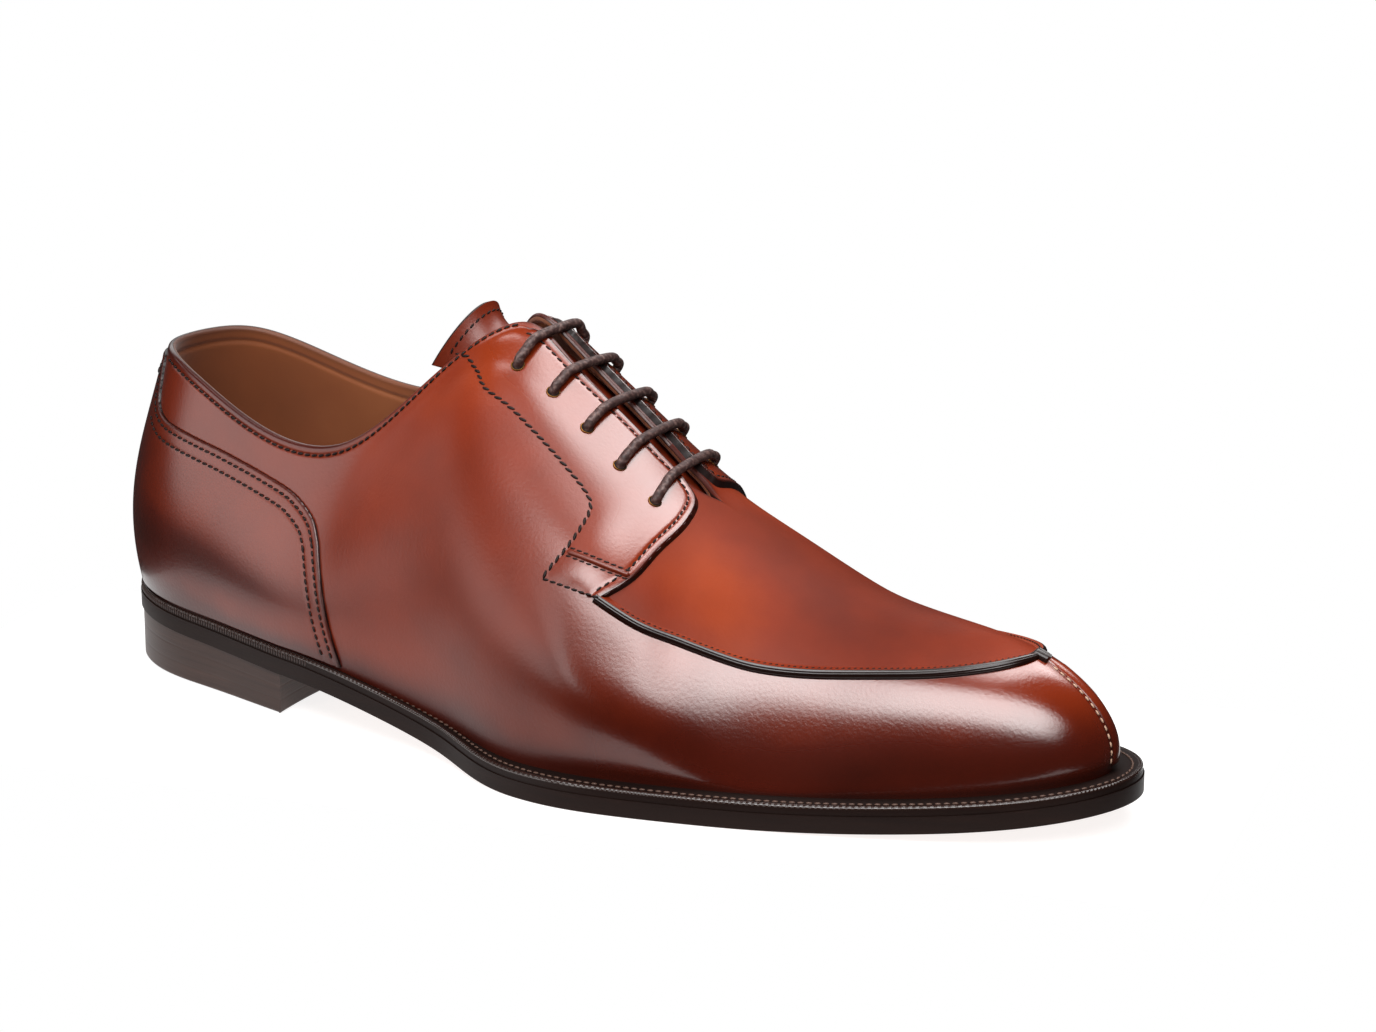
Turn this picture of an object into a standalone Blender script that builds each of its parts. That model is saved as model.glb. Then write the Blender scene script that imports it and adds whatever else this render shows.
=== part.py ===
"""Laced derby shoe with a split toe and a raised apron seam, for the right foot.

The shoe stands on its heel and forefoot. +X points to the toe, +Y to the inner side of the foot,
+Z up. Sizes are in millimetres until a mesh is made, and the scene is in metres.

The upper, its overlays, the tongue and the lace all come from one function of the foot form:
q runs once round the edge of the sole, from the back of the heel (0) along the outer side to the
tip of the toe (1) and back along the inner side (2), and t runs from that edge (0) up to the
collar, the throat or the centre line of the vamp (1).
"""

import math

import bmesh
import bpy
import numpy as np

MM = 0.001

# Bottom of the shoe
HEEL_SEAT = 11.3  # underside of the sole above the floor, at the front of the heel
HEEL_RISE = 0.05  # rise of the heel seat for each millimetre further back
HEEL_BREAST = -82.5  # x of the front face of the heel
HEEL_INSET = 0.6  # heel block inside the edge of the sole, at the floor
BREAST_HOLLOW = 3.0  # depth of the curve of the heel's front face
ARCH_END = 6.5  # x where the sole comes down to the floor
SPRING_START = 58.9  # x where the sole leaves the floor again
SPRING_END = 150.0
TOE_SPRING = 7.9  # height of the sole's underside at SPRING_END
SOLE_THICKNESS = 4.2
WELT_THICKNESS = 2.4
WELT_INSET = 0.4  # welt inside the edge of the sole
WELT_LEDGE = 8.0  # width of the welt under the upper
INSOLE_THICKNESS = 2.5

# Upper
GAP = 0.3  # clearance between neighbouring pieces
WALL = 2.2  # outer leather and lining together
OVERLAY = 1.2  # thickness of a facing or of the counter
SLIT_END = 0.64  # the throat keeps its full width up to this s
SLIT_CLOSED = 0.675  # and is closed from this s on
SEAM_WIDTH = 3.6
SEAM_HEIGHT = 1.5
TOE_SEAM_WIDTH = 3.0
TOE_SEAM_HEIGHT = 0.9
TONGUE_THICKNESS = 1.6
TONGUE_FRONT = 0.70  # s of the tongue's hidden front end
TONGUE_BEND = 0.47  # s where the tongue leaves the throat
TONGUE_EDGE = (0.78, 0.905)  # t of the tongue's side edges at the front and at the bend
TONGUE_GAP = (0.8, 2.0)  # clearance under the upper at the front and at the bend
# Cross lines of the tongue above the throat: the middle of an arch, half its width, how far its ends
# drop and lie back, and the angle above level that its outer face looks at.
TONGUE_LINE_COLUMNS = ("x", "y", "z", "half", "drop", "back", "face")
TONGUE_NECK = (-34.0, 0.75, 102.0, 9.0, 8.0, 4.0, 60.0)
TONGUE_TIP = (-37.0, 0.75, 111.7, 12.3, 16.0, 10.0, 17.0)
LACE_RADIUS = 1.4

# The origin is at the middle of the box round the shoe, on the floor.
ORIGIN = (-2.98, -4.81)

# Sections of the foot form, from the heel to the toe. lat and med are the edge of the sole on the
# outer and the inner side, welt is how far the sole stands out past it, lean and rise shape the
# lower part of the section, and tilt and crown shape its upper part, down from the top point.
STATION_COLUMNS = (
    "s", "x", "lat", "med", "welt", "lean", "rise",
    "top_x", "top_lat", "top_med", "top_z_lat", "top_z_med", "tilt", "crown",
)
STATIONS = (
    (0.00, -153.0, 0.0, 0.0, 1.6, 12, 0.40, -140.0, 0.0, 0.0, 91.8, 91.8, 76, 0.35),
    (0.07, -139.8, -17.8, 20.2, 1.3, 13, 0.42, -133.9, -13.9, 14.0, 91.5, 92.4, 75, 0.35),
    (0.17, -111.8, -26.9, 29.0, 1.4, 12, 0.40, -113.8, -23.3, 23.0, 84.7, 87.6, 80, 0.35),
    (0.30, -71.1, -35.5, 28.0, 2.1, 12, 0.40, -67.2, -24.5, 25.5, 75.0, 79.7, 76, 0.35),
    (0.375, -46.6, -38.2, 26.0, 2.7, 12, 0.40, -43.0, -16.3, 17.8, 95.1, 93.2, 52, 0.35),
    (0.45, -21.7, -42.4, 26.0, 3.2, 12, 0.41, -23.7, -2.5, 4.0, 108.6, 109.6, 26, 0.35),
    (0.51, -4.4, -48.3, 28.6, 4.7, 14, 0.41, -9.6, -2.0, 4.4, 100.3, 100.3, 17, 0.43),
    (0.58, 17.6, -51.0, 32.6, 6.3, 16, 0.35, 10.1, -1.4, 5.0, 84.3, 84.3, 12, 0.52),
    (0.64, 36.7, -48.3, 36.7, 6.5, 20, 0.24, 25.3, -0.8, 5.5, 71.5, 71.5, 10, 0.60),
    (0.72, 61.5, -41.7, 40.9, 6.6, 20, 0.04, 46.0, 2.6, 2.6, 60.6, 60.6, 5, 0.53),
    (0.86, 103.2, -27.5, 31.2, 6.9, 18, 0.12, 79.0, 2.3, 2.3, 47.9, 47.9, 5, 0.52),
    (0.95, 134.5, -11.0, 18.0, 7.5, 20, 0.23, 100.0, 2.5, 2.5, 44.7, 44.7, 5, 0.45),
    (1.00, 142.6, 3.2, 3.2, 7.4, 21, 0.33, 109.0, 2.8, 2.8, 44.0, 44.0, 8, 0.39),
)

# Edges of a lace facing, from the collar down to the apron seam.
FACING_COLUMNS = ("rear_s", "rear_t", "front_s", "front_t")
FACING = (
    (0.400, 0.970, 0.462, 0.980),
    (0.434, 0.878, 0.484, 0.983),
    (0.464, 0.812, 0.510, 0.984),
    (0.507, 0.803, 0.540, 0.984),
    (0.535, 0.796, 0.570, 0.984),
    (0.557, 0.785, 0.600, 0.984),
    (0.579, 0.766, 0.634, 0.982),
    (0.587, 0.738, 0.652, 0.945),
    (0.586, 0.677, 0.653, 0.860),
    (0.581, 0.605, 0.643, 0.760),
    (0.575, 0.550, 0.631, 0.650),
    (0.569, 0.497, 0.612, 0.545),
)

# Top edge of the heel counter, from the back strap forward, and where its lower edge lies below it.
COUNTER_COLUMNS = ("s", "t", "low_s")
COUNTER = (
    (0.000, 0.962, 0.000),
    (0.018, 0.962, 0.018),
    (0.036, 0.962, 0.036),
    (0.056, 0.962, 0.055),
    (0.074, 0.950, 0.072),
    (0.083, 0.880, 0.085),
    (0.093, 0.790, 0.100),
    (0.112, 0.755, 0.120),
    (0.138, 0.753, 0.145),
    (0.169, 0.769, 0.178),
    (0.202, 0.795, 0.215),
    (0.232, 0.803, 0.250),
    (0.258, 0.780, 0.280),
    (0.274, 0.730, 0.303),
    (0.290, 0.640, 0.322),
    (0.301, 0.530, 0.335),
)
COUNTER_LOW = 0.03

# Height of the apron seam on the outer and the inner side.
APRON_COLUMNS = ("s", "t_lat", "t_med")
APRON = (
    (0.622, 0.545, 0.575),
    (0.665, 0.545, 0.575),
    (0.700, 0.549, 0.575),
    (0.736, 0.557, 0.580),
    (0.784, 0.582, 0.595),
    (0.839, 0.617, 0.620),
    (0.906, 0.656, 0.656),
    (0.949, 0.692, 0.692),
    (0.982, 0.730, 0.730),
    (1.000, 0.738, 0.738),
)

# Eyelets of one row, from the top one down.
EYELETS = ((0.481, 0.897), (0.521, 0.901), (0.557, 0.892), (0.590, 0.876), (0.625, 0.866))

SIDE_SECTIONS = 46  # sections along each side of the upper
RIB_STEPS = 11

# Where the sections lie closer: at the heel, at the corner of the collar and at the toe.
CROWDING_COLUMNS = ("s", "spread", "weight")
CROWDING = ((0.0, 0.07, 1.2), (0.43, 0.06, 0.8), (1.0, 0.08, 0.9))


def smoothstep(x):
    """Ease from 0 to 1."""
    x = np.clip(x, 0.0, 1.0)
    return x * x * (3.0 - 2.0 * x)


class ClosedSpline:
    """Smooth closed curve through rows of values."""

    def __init__(self, knots, values, period):
        count = len(knots)
        steps = np.diff(np.append(knots, knots[0] + period))
        before = np.roll(steps, 1)
        matrix = np.zeros((count, count))
        right = np.zeros(values.shape)
        for i in range(count):
            last, following = (i - 1) % count, (i + 1) % count
            matrix[i, last] += before[i]
            matrix[i, i] += 2.0 * (before[i] + steps[i])
            matrix[i, following] += steps[i]
            slope_out = (values[following] - values[i]) / steps[i]
            slope_in = (values[i] - values[last]) / before[i]
            right[i] = 6.0 * (slope_out - slope_in)
        self.bends = np.linalg.solve(matrix, right)
        self.knots, self.values, self.steps, self.period = knots, values, steps, period

    def __call__(self, q):
        q = np.asarray(q, float) % self.period
        i = np.clip(np.searchsorted(self.knots, q, side="right") - 1, 0, len(self.knots) - 1)
        j = (i + 1) % len(self.knots)
        h = self.steps[i][..., None]
        d = (q - self.knots[i])[..., None]
        e = h - d
        cubic = (self.bends[i] * e**3 + self.bends[j] * d**3) / (6.0 * h)
        return (
            cubic
            + (self.values[i] / h - self.bends[i] * h / 6.0) * e
            + (self.values[j] / h - self.bends[j] * h / 6.0) * d
        )


def make_form():
    """Return the spline of the section values round the whole foot form."""
    rows = np.array(STATIONS, float)
    column = {name: rows[:, i] for i, name in enumerate(STATION_COLUMNS)}

    def both(outer, inner=None):
        return np.concatenate([column[outer], column[inner or outer][1:-1][::-1]])

    knots = np.concatenate([column["s"], 2.0 - column["s"][1:-1][::-1]])
    values = np.stack(
        [
            both("x"), both("lat", "med"), both("welt"), both("lean"), both("rise"),
            both("top_x"), both("top_lat", "top_med"), both("top_z_lat", "top_z_med"),
            both("tilt"), both("crown"),
        ],
        1,
    )
    return ClosedSpline(knots, values, 2.0)


FORM = make_form()


def sole_height(x):
    """Height of the sole's underside above the floor at x."""
    x = np.asarray(x, float)
    down = smoothstep((x - HEEL_BREAST) / (ARCH_END - HEEL_BREAST))
    seat = HEEL_SEAT * (1.0 - down) + HEEL_RISE * np.clip(HEEL_BREAST - x, 0.0, None)
    spring = np.clip((x - SPRING_START) / (SPRING_END - SPRING_START), 0.0, None)
    return seat + TOE_SPRING * spring**2


WELT_TOP = SOLE_THICKNESS + GAP + WELT_THICKNESS


def edge_normal(q):
    """Unit normal of the sole's edge in plan, pointing out."""
    q = np.asarray(q, float)
    along = FORM(q + 1e-4)[..., :2] - FORM(q - 1e-4)[..., :2]
    along /= np.linalg.norm(along, axis=-1, keepdims=True)
    return np.stack([along[..., 1], -along[..., 0]], -1)


def edge_point(q, out):
    """Plan point of the upper's lower edge at q, moved out by this many millimetres."""
    return FORM(q)[..., :2] + edge_normal(q) * np.asarray(out, float)[..., None]


def sole_edge(q, inset=0.0):
    """Plan point of the sole's edge at q."""
    return edge_point(q, FORM(q)[..., 2] - inset)


def top_point(q):
    """Point of the collar, the throat or the centre line of the vamp at q."""
    q = np.asarray(q, float)
    here = FORM(q)[..., 5:8]
    middle = 0.5 * (here + FORM(2.0 - q)[..., 5:8])
    s = 1.0 - np.abs(1.0 - q % 2.0)
    apart = smoothstep((SLIT_CLOSED - s) / (SLIT_CLOSED - SLIT_END))[..., None]
    return middle + (here - middle) * apart


def rib_point(q, t):
    """Point of the upper's outer face."""
    q, t = np.broadcast_arrays(np.asarray(q, float), np.asarray(t, float))
    values = FORM(q)
    flat = edge_normal(q)
    out = np.concatenate([flat, np.zeros_like(flat[..., :1])], -1)
    up = np.array([0.0, 0.0, 1.0])
    foot_z = sole_height(values[..., 0]) + WELT_TOP + GAP
    foot = np.concatenate([values[..., :2], foot_z[..., None]], -1)
    top = top_point(q)
    length = np.linalg.norm(foot - top, axis=-1, keepdims=True)
    lean = np.radians(values[..., 3:4])
    tilt = np.radians(values[..., 8:9])
    low = foot + length * values[..., 4:5] * (out * np.sin(lean) + up * np.cos(lean))
    high = top + length * values[..., 9:10] * (out * np.cos(tilt) - up * np.sin(tilt))
    t = t[..., None]
    return (
        foot * (1 - t) ** 3 + 3 * low * t * (1 - t) ** 2 + 3 * high * t * t * (1 - t) + top * t**3
    )


def rib_normal(q, t):
    """Outward unit normal of the upper's outer face."""
    q, t = np.broadcast_arrays(np.asarray(q, float), np.asarray(t, float))
    step = 1e-3
    t = np.clip(t, step, 0.985)
    around = rib_point(q + step, t) - rib_point(q - step, t)
    upward = rib_point(q, t + step) - rib_point(q, t - step)
    normal = np.cross(around, upward)
    return normal / np.linalg.norm(normal, axis=-1, keepdims=True)


def lifted(q, t, lift):
    """Point at a distance out from the upper's outer face, or in from it."""
    q, t = np.broadcast_arrays(np.asarray(q, float), np.asarray(t, float))
    normal = rib_normal(q, t)
    s = 1.0 - np.abs(1.0 - q % 2.0)
    ridge = ((t > 0.999) & (s >= SLIT_CLOSED))[..., None]
    shared = normal + rib_normal(2.0 - q, t)
    shared /= np.linalg.norm(shared, axis=-1, keepdims=True)
    return rib_point(q, t) + np.where(ridge, shared, normal) * np.asarray(lift, float)[..., None]


def through_rows(rows, u):
    """Values at u, from 0 to 1, on a smooth curve through evenly numbered rows."""
    rows = np.array(rows, float)
    place = np.clip(np.asarray(u, float), 0.0, 1.0) * (len(rows) - 1)
    i = np.minimum(place.astype(int), len(rows) - 2)
    f = (place - i)[..., None]
    padded = np.concatenate([2 * rows[:1] - rows[1:2], rows, 2 * rows[-1:] - rows[-2:-1]])
    a, b, c, d = padded[i], padded[i + 1], padded[i + 2], padded[i + 3]
    return 0.5 * (
        2 * b + (c - a) * f + (2 * a - 5 * b + 4 * c - d) * f**2 + (3 * b - a - 3 * c + d) * f**3
    )


def section_places():
    """Return even steps from 0 to 1 and the s of a section at each of them."""
    s = np.linspace(0.0, 1.0, 401)
    density = np.ones(s.shape)
    for middle, spread, weight in CROWDING:
        density += weight * np.exp(-(((s - middle) / spread) ** 2))
    passed = np.concatenate([[0.0], np.cumsum(0.5 * (density[1:] + density[:-1]))])
    return passed / passed[-1], s


PLACES = section_places()


def around_q(u):
    """The q of section u, from 0 to 2 round the shoe."""
    u = np.asarray(u, float)
    s = np.interp(1.0 - np.abs(1.0 - u), *PLACES)
    return np.where(u <= 1.0, s, 2.0 - s)


def leather(name, colour, roughness):
    """Return a Principled material."""
    material = bpy.data.materials.new(name)
    material.use_nodes = True
    shader = material.node_tree.nodes["Principled BSDF"]
    shader.inputs["Base Color"].default_value = (*colour, 1.0)
    shader.inputs["Roughness"].default_value = roughness
    shader.inputs["Metallic"].default_value = 0.0
    return material


def metres(points):
    """Move points from the form's frame in millimetres to the shoe's frame in metres."""
    points = np.array(points, float)
    points[..., 0] -= ORIGIN[0]
    points[..., 1] -= ORIGIN[1]
    return points * MM


def place(bm, verts, grid, shape):
    """Put each vertex where shape(u, v) says, for the u and v kept in the grid layer."""
    uv = np.array([vert[grid][:2] for vert in verts])
    for vert, point in zip(verts, metres(shape(uv[:, 0], uv[:, 1]))):
        vert.co = point


def sheet_solid(name, material, columns, rows, first, second, smooth=True):
    """Solid between two faces, each a function of u and v from 0 to 1, with walls round its edge.

    A grid is laid on the first face, vertices that fall together are joined, and the sheet is
    extruded to the second face.
    """
    bm = bmesh.new()
    grid = bm.verts.layers.float_vector.new("uv")
    bmesh.ops.create_grid(bm, x_segments=columns, y_segments=rows, size=0.5)
    for vert in bm.verts:
        vert[grid] = (vert.co.x + 0.5, vert.co.y + 0.5, 0.0)
    place(bm, list(bm.verts), grid, first)
    bmesh.ops.remove_doubles(bm, verts=bm.verts, dist=1e-7)
    made = bmesh.ops.extrude_face_region(bm, geom=list(bm.faces), use_keep_orig=True)
    moved = [item for item in made["geom"] if isinstance(item, bmesh.types.BMVert)]
    place(bm, moved, grid, second)
    bmesh.ops.recalc_face_normals(bm, faces=bm.faces)
    if bm.calc_volume(signed=True) < 0.0:
        bmesh.ops.reverse_faces(bm, faces=bm.faces)
    bmesh.ops.triangulate(bm, faces=bm.faces)
    return finish(bm, name, material, smooth)


def finish(bm, name, material, smooth):
    """Turn a bmesh into an object of the scene."""
    mesh = bpy.data.meshes.new(name)
    bm.to_mesh(mesh)
    bm.free()
    if smooth:
        mesh.shade_smooth()
        mesh.set_sharp_from_angle(angle=math.radians(35.0))
    mesh.materials.append(material)
    thing = bpy.data.objects.new(name, mesh)
    bpy.context.scene.collection.objects.link(thing)
    return thing


def round_edges(thing, width):
    """Break the sharp edges of a solid."""
    bevel = thing.modifiers.new("edges", "BEVEL")
    bevel.width = width * MM
    bevel.segments = 1
    bevel.limit_method = "ANGLE"
    bevel.angle_limit = math.radians(50.0)


def plate(inset, base):
    """Face of a plate under the foot: u from heel to toe, v from the outer to the inner side."""

    def shape(u, v):
        s = around_q(u)
        outer = edge_point(s, inset(s))
        inner = edge_point(2.0 - s, inset(2.0 - s))
        flat = outer + (inner - outer) * v[:, None]
        return np.concatenate([flat, (sole_height(flat[:, 0]) + base)[:, None]], -1)

    return shape


def ring(outer, inner, base):
    """Face of a band round the edge: u round the shoe, v from its outer to its inner edge."""

    def shape(u, v):
        q = around_q(2.0 * u) % 2.0
        flat = edge_point(q, outer(q)) * (1 - v[:, None]) + edge_point(q, inner(q)) * v[:, None]
        return np.concatenate([flat, (sole_height(flat[:, 0]) + base)[:, None]], -1)

    return shape


def make_outsole(material):
    """Sole of even thickness under the whole shoe."""

    def edge(q):
        return FORM(q)[..., 2]

    first, second = plate(edge, 0.0), plate(edge, SOLE_THICKNESS)
    sole = sheet_solid("outsole", material, 44, 2, first, second)
    round_edges(sole, 0.7)
    return sole


def make_welt(material):
    """Band on top of the sole, all round, that the upper is sewn to."""

    def outer(q):
        return FORM(q)[..., 2] - WELT_INSET

    def inner(q):
        return np.full(q.shape, -WELT_LEDGE)

    low = SOLE_THICKNESS + GAP
    first, second = ring(outer, inner, low), ring(outer, inner, low + WELT_THICKNESS)
    return sheet_solid("welt", material, 88, 1, first, second)


def make_insole(material):
    """Plate inside the upper, on the welt."""

    def edge(q):
        return np.full(q.shape, -WALL - 1.2)

    low = WELT_TOP + GAP
    first, second = plate(edge, low), plate(edge, low + INSOLE_THICKNESS)
    return sheet_solid("insole", material, 36, 2, first, second)


def breast_q(side, inset):
    """The q where the sole's edge crosses the front of the heel, on the outer or the inner side."""
    near, far = 0.1, 0.45
    for _ in range(50):
        middle = 0.5 * (near + far)
        if sole_edge(np.array([side * middle]), inset)[0, 0] < HEEL_BREAST:
            near = middle
        else:
            far = middle
    return side * near


def make_heel(material):
    """Stacked heel under the seat of the sole, with a hollow front face."""

    def outline(inset):
        q = np.linspace(breast_q(-1, inset), breast_q(1, inset), 41)
        round_back = sole_edge(q, inset)
        across = np.linspace(0.0, 1.0, 9)[1:-1]
        front = round_back[-1] + (round_back[0] - round_back[-1]) * across[:, None]
        front[:, 0] -= BREAST_HOLLOW * 4.0 * across * (1.0 - across)
        return np.concatenate([round_back, front])

    bm = bmesh.new()
    low = outline(HEEL_INSET)
    high = outline(0.5)
    floor = np.concatenate([low, np.zeros((len(low), 1))], -1)
    seat = HEEL_SEAT + HEEL_RISE * (HEEL_BREAST - high[:, 0]) - GAP
    ceiling = np.concatenate([high, seat[:, None]], -1)
    face = bm.faces.new([bm.verts.new(point) for point in metres(floor)])
    made = bmesh.ops.extrude_face_region(bm, geom=[face], use_keep_orig=True)
    moved = [item for item in made["geom"] if isinstance(item, bmesh.types.BMVert)]
    for vert in moved:
        gaps = [(vert.co.xy - other.co.xy).length for other in bm.verts if other not in moved]
        vert.co = metres(ceiling)[gaps.index(min(gaps))]
    bmesh.ops.recalc_face_normals(bm, faces=bm.faces)
    heel = finish(bm, "heel", material, True)
    round_edges(heel, 0.5)
    return heel


def make_upper(material):
    """Hollow upper, open at the collar, along the throat and underneath."""

    def outer(u, v):
        return lifted(around_q(2.0 * u) % 2.0, v, np.zeros(u.shape))

    def inner(u, v):
        q = around_q(2.0 * u) % 2.0
        points = lifted(q, v, np.full(u.shape, -WALL))
        foot = rib_point(q, np.zeros(q.shape))
        foot[:, :2] -= edge_normal(q) * WALL
        return np.where((v < 0.001)[:, None], foot, points)

    return sheet_solid("upper", material, 2 * SIDE_SECTIONS, RIB_STEPS, outer, inner)


def make_tongue(material):
    """Tongue under the throat, from below the vamp to above the collar."""
    share = 0.66  # part of the tongue's length that lies under the throat

    def shape(depth):
        def under(s, t, w, lift):
            sides = lifted(s, t, lift), lifted(2.0 - s, t, lift)
            across = 0.5 + 0.5 * np.sign(np.round(w, 6))[:, None]
            return sides[0] * (1.0 - across) + sides[1] * across

        def arch(line, w):
            x, y, z, half, drop, back, facing = line
            angle, facing = 0.5 * math.pi * w, math.radians(facing)
            fall = 1.0 - np.cos(angle)
            far_x = x - depth * math.cos(facing) - back * fall
            far_y = y + (half - depth) * np.sin(angle)
            return np.stack([far_x, far_y, z - depth * math.sin(facing) - drop * fall], -1)

        def face(u, v):
            w = 2.0 * v - 1.0
            near = np.clip(u / share, 0.0, 1.0)
            deep = -(WALL + TONGUE_GAP[0] + (TONGUE_GAP[1] - TONGUE_GAP[0]) * near**2 + depth)
            s = TONGUE_FRONT + (TONGUE_BEND - TONGUE_FRONT) * near
            side = TONGUE_EDGE[0] + (TONGUE_EDGE[1] - TONGUE_EDGE[0]) * near**3
            start = under(s, 1.0 - (1.0 - side) * np.abs(w), w, deep)
            neck, tip = arch(TONGUE_NECK, w), arch(TONGUE_TIP, w)
            past = np.clip((u - share) / (1.0 - share), 0.0, 1.0)[:, None]
            return start * (1 - past) ** 2 + 2 * neck * past * (1 - past) + tip * past**2

        return face

    return sheet_solid("tongue", material, 14, 16, shape(0.0), shape(TONGUE_THICKNESS))


def make_facing(name, material, inner_side):
    """Lace facing on one quarter, from the collar down to the apron seam."""

    def face(lift):
        def shape(u, v):
            rows = through_rows(FACING, u)
            s = rows[:, 0] + (rows[:, 2] - rows[:, 0]) * v
            t = rows[:, 1] + (rows[:, 3] - rows[:, 1]) * v
            q = 2.0 - s if inner_side else s
            return lifted(q, t, np.full(q.shape, lift))

        return shape

    return sheet_solid(name, material, 24, 6, face(GAP), face(GAP + OVERLAY))


def make_counter(material):
    """Heel counter round the back, with its strap up to the collar."""

    def face(lift):
        def shape(u, v):
            across = 2.0 * u - 1.0
            rows = through_rows(COUNTER, np.abs(across))
            s = rows[:, 2] + (rows[:, 0] - rows[:, 2]) * v
            t = COUNTER_LOW + (rows[:, 1] - COUNTER_LOW) * v
            q = np.sign(across) * s % 2.0
            return lifted(q, t, np.full(q.shape, lift))

        return shape

    return sheet_solid("heel_counter", material, 40, 7, face(GAP), face(GAP + OVERLAY))


def raised_strip(centre, width, height):
    """Two faces of a raised seam along centre(u), which gives q and t."""

    def face(top):
        def shape(u, v):
            q, t = centre(u)
            q_next, t_next = centre(u + 1e-3)
            q_last, t_last = centre(u - 1e-3)
            along = rib_point(q_next, t_next) - rib_point(q_last, t_last)
            normal = rib_normal(q, t)
            aside = np.cross(normal, along)
            aside /= np.linalg.norm(aside, axis=-1, keepdims=True)
            w = 2.0 * v - 1.0
            crown = height * np.sqrt(np.clip(1.0 - 0.9 * w**2, 0.0, 1.0)) if top else 0.0 * w
            sideways = aside * (0.5 * width * w)[:, None]
            return rib_point(q, t) + sideways + normal * (GAP + 0.05 + crown)[:, None]

        return shape

    return face(False), face(True)


def apron_centre(u):
    """The q and t of the apron seam, from the outer facing round the toe to the inner one."""
    along = 2.0 * np.asarray(u, float)
    rows = through_rows(APRON, 1.0 - np.abs(1.0 - along))
    outer = along <= 1.0
    return np.where(outer, rows[..., 0], 2.0 - rows[..., 0]), np.where(outer, rows[..., 1], rows[..., 2])


def make_apron_seam(material):
    """Raised seam round the apron."""
    first, second = raised_strip(apron_centre, SEAM_WIDTH, SEAM_HEIGHT)
    return sheet_solid("apron_seam", material, 52, 3, first, second)


def make_toe_seam(material):
    """Raised seam down the middle of the toe, from the apron seam to the welt."""
    high = APRON[-1][1] - 0.065

    def centre(u):
        u = np.asarray(u, float)
        return np.ones(u.shape), high + (0.06 - high) * u

    first, second = raised_strip(centre, TOE_SEAM_WIDTH, TOE_SEAM_HEIGHT)
    return sheet_solid("toe_seam", material, 12, 4, first, second)


def make_lace_bar(number, eyelet, material):
    """One straight bar of the lace, from an outer eyelet across the throat to its pair."""
    s, t = eyelet
    lift = GAP + OVERLAY + 0.4 + LACE_RADIUS
    points = []
    for w in np.linspace(-1.0, 1.0, 11):
        here = 1.0 - (1.0 - t) * abs(w)
        if abs(w) < 1e-6:
            pair = [lifted(q, np.array(1.0), np.array(lift)) for q in (s, 2.0 - s)]
            points.append(0.5 * (pair[0] + pair[1]))
        else:
            points.append(lifted(np.array(s if w < 0.0 else 2.0 - s), np.array(here), np.array(lift)))
    curve = bpy.data.curves.new(f"lace_bar_{number}", "CURVE")
    curve.dimensions = "3D"
    curve.bevel_depth = LACE_RADIUS * MM
    curve.bevel_resolution = 2
    curve.use_fill_caps = True
    line = curve.splines.new("POLY")
    line.points.add(len(points) - 1)
    for knot, point in zip(line.points, metres(points)):
        knot.co = (*point, 1.0)
    curve.materials.append(material)
    thing = bpy.data.objects.new(curve.name, curve)
    bpy.context.scene.collection.objects.link(thing)
    return thing


def main():
    """Build the shoe."""
    for old in list(bpy.data.objects):
        bpy.data.objects.remove(old, do_unlink=True)
    calf = leather("chestnut_calf", (0.195, 0.032, 0.012), 0.28)
    facing_calf = leather("facing_calf", (0.230, 0.042, 0.016), 0.28)
    seam_calf = leather("seam_calf", (0.070, 0.016, 0.010), 0.40)
    tongue_calf = leather("tongue_calf", (0.170, 0.032, 0.014), 0.38)
    edge_leather = leather("edge_leather", (0.020, 0.009, 0.006), 0.35)
    heel_leather = leather("heel_leather", (0.032, 0.013, 0.009), 0.38)
    lining = leather("lining_leather", (0.260, 0.105, 0.048), 0.60)
    waxed_lace = leather("waxed_lace", (0.030, 0.014, 0.010), 0.55)
    make_outsole(edge_leather)
    make_welt(edge_leather)
    make_heel(heel_leather)
    make_insole(lining)
    make_upper(calf)
    make_tongue(tongue_calf)
    make_facing("facing_outer", facing_calf, False)
    make_facing("facing_inner", facing_calf, True)
    make_counter(calf)
    make_apron_seam(seam_calf)
    make_toe_seam(calf)
    for number, eyelet in enumerate(EYELETS, 1):
        make_lace_bar(number, eyelet, waxed_lace)


main()
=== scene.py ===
"""Looks of a laced derby shoe with a split toe and a raised apron seam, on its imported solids.

Sizes are in millimetres in the frame of the foot form (+X to the toe, +Y to the inner side of this
right shoe, +Z up) until a mesh is made. Everything on the upper comes from one form: q runs once
round the edge of the sole, from the back of the heel (0) along the outer side to the tip of the
toe (1) and back along the inner side (2), and t runs from that edge (0) up to the collar, the
throat or the centre line of the vamp (1).
"""

from __future__ import annotations

import logging
import math
from dataclasses import dataclass, field
from enum import Enum
from typing import Callable, Sequence

import bmesh
import bpy
import numpy as np
from mathutils import Matrix, Vector

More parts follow.
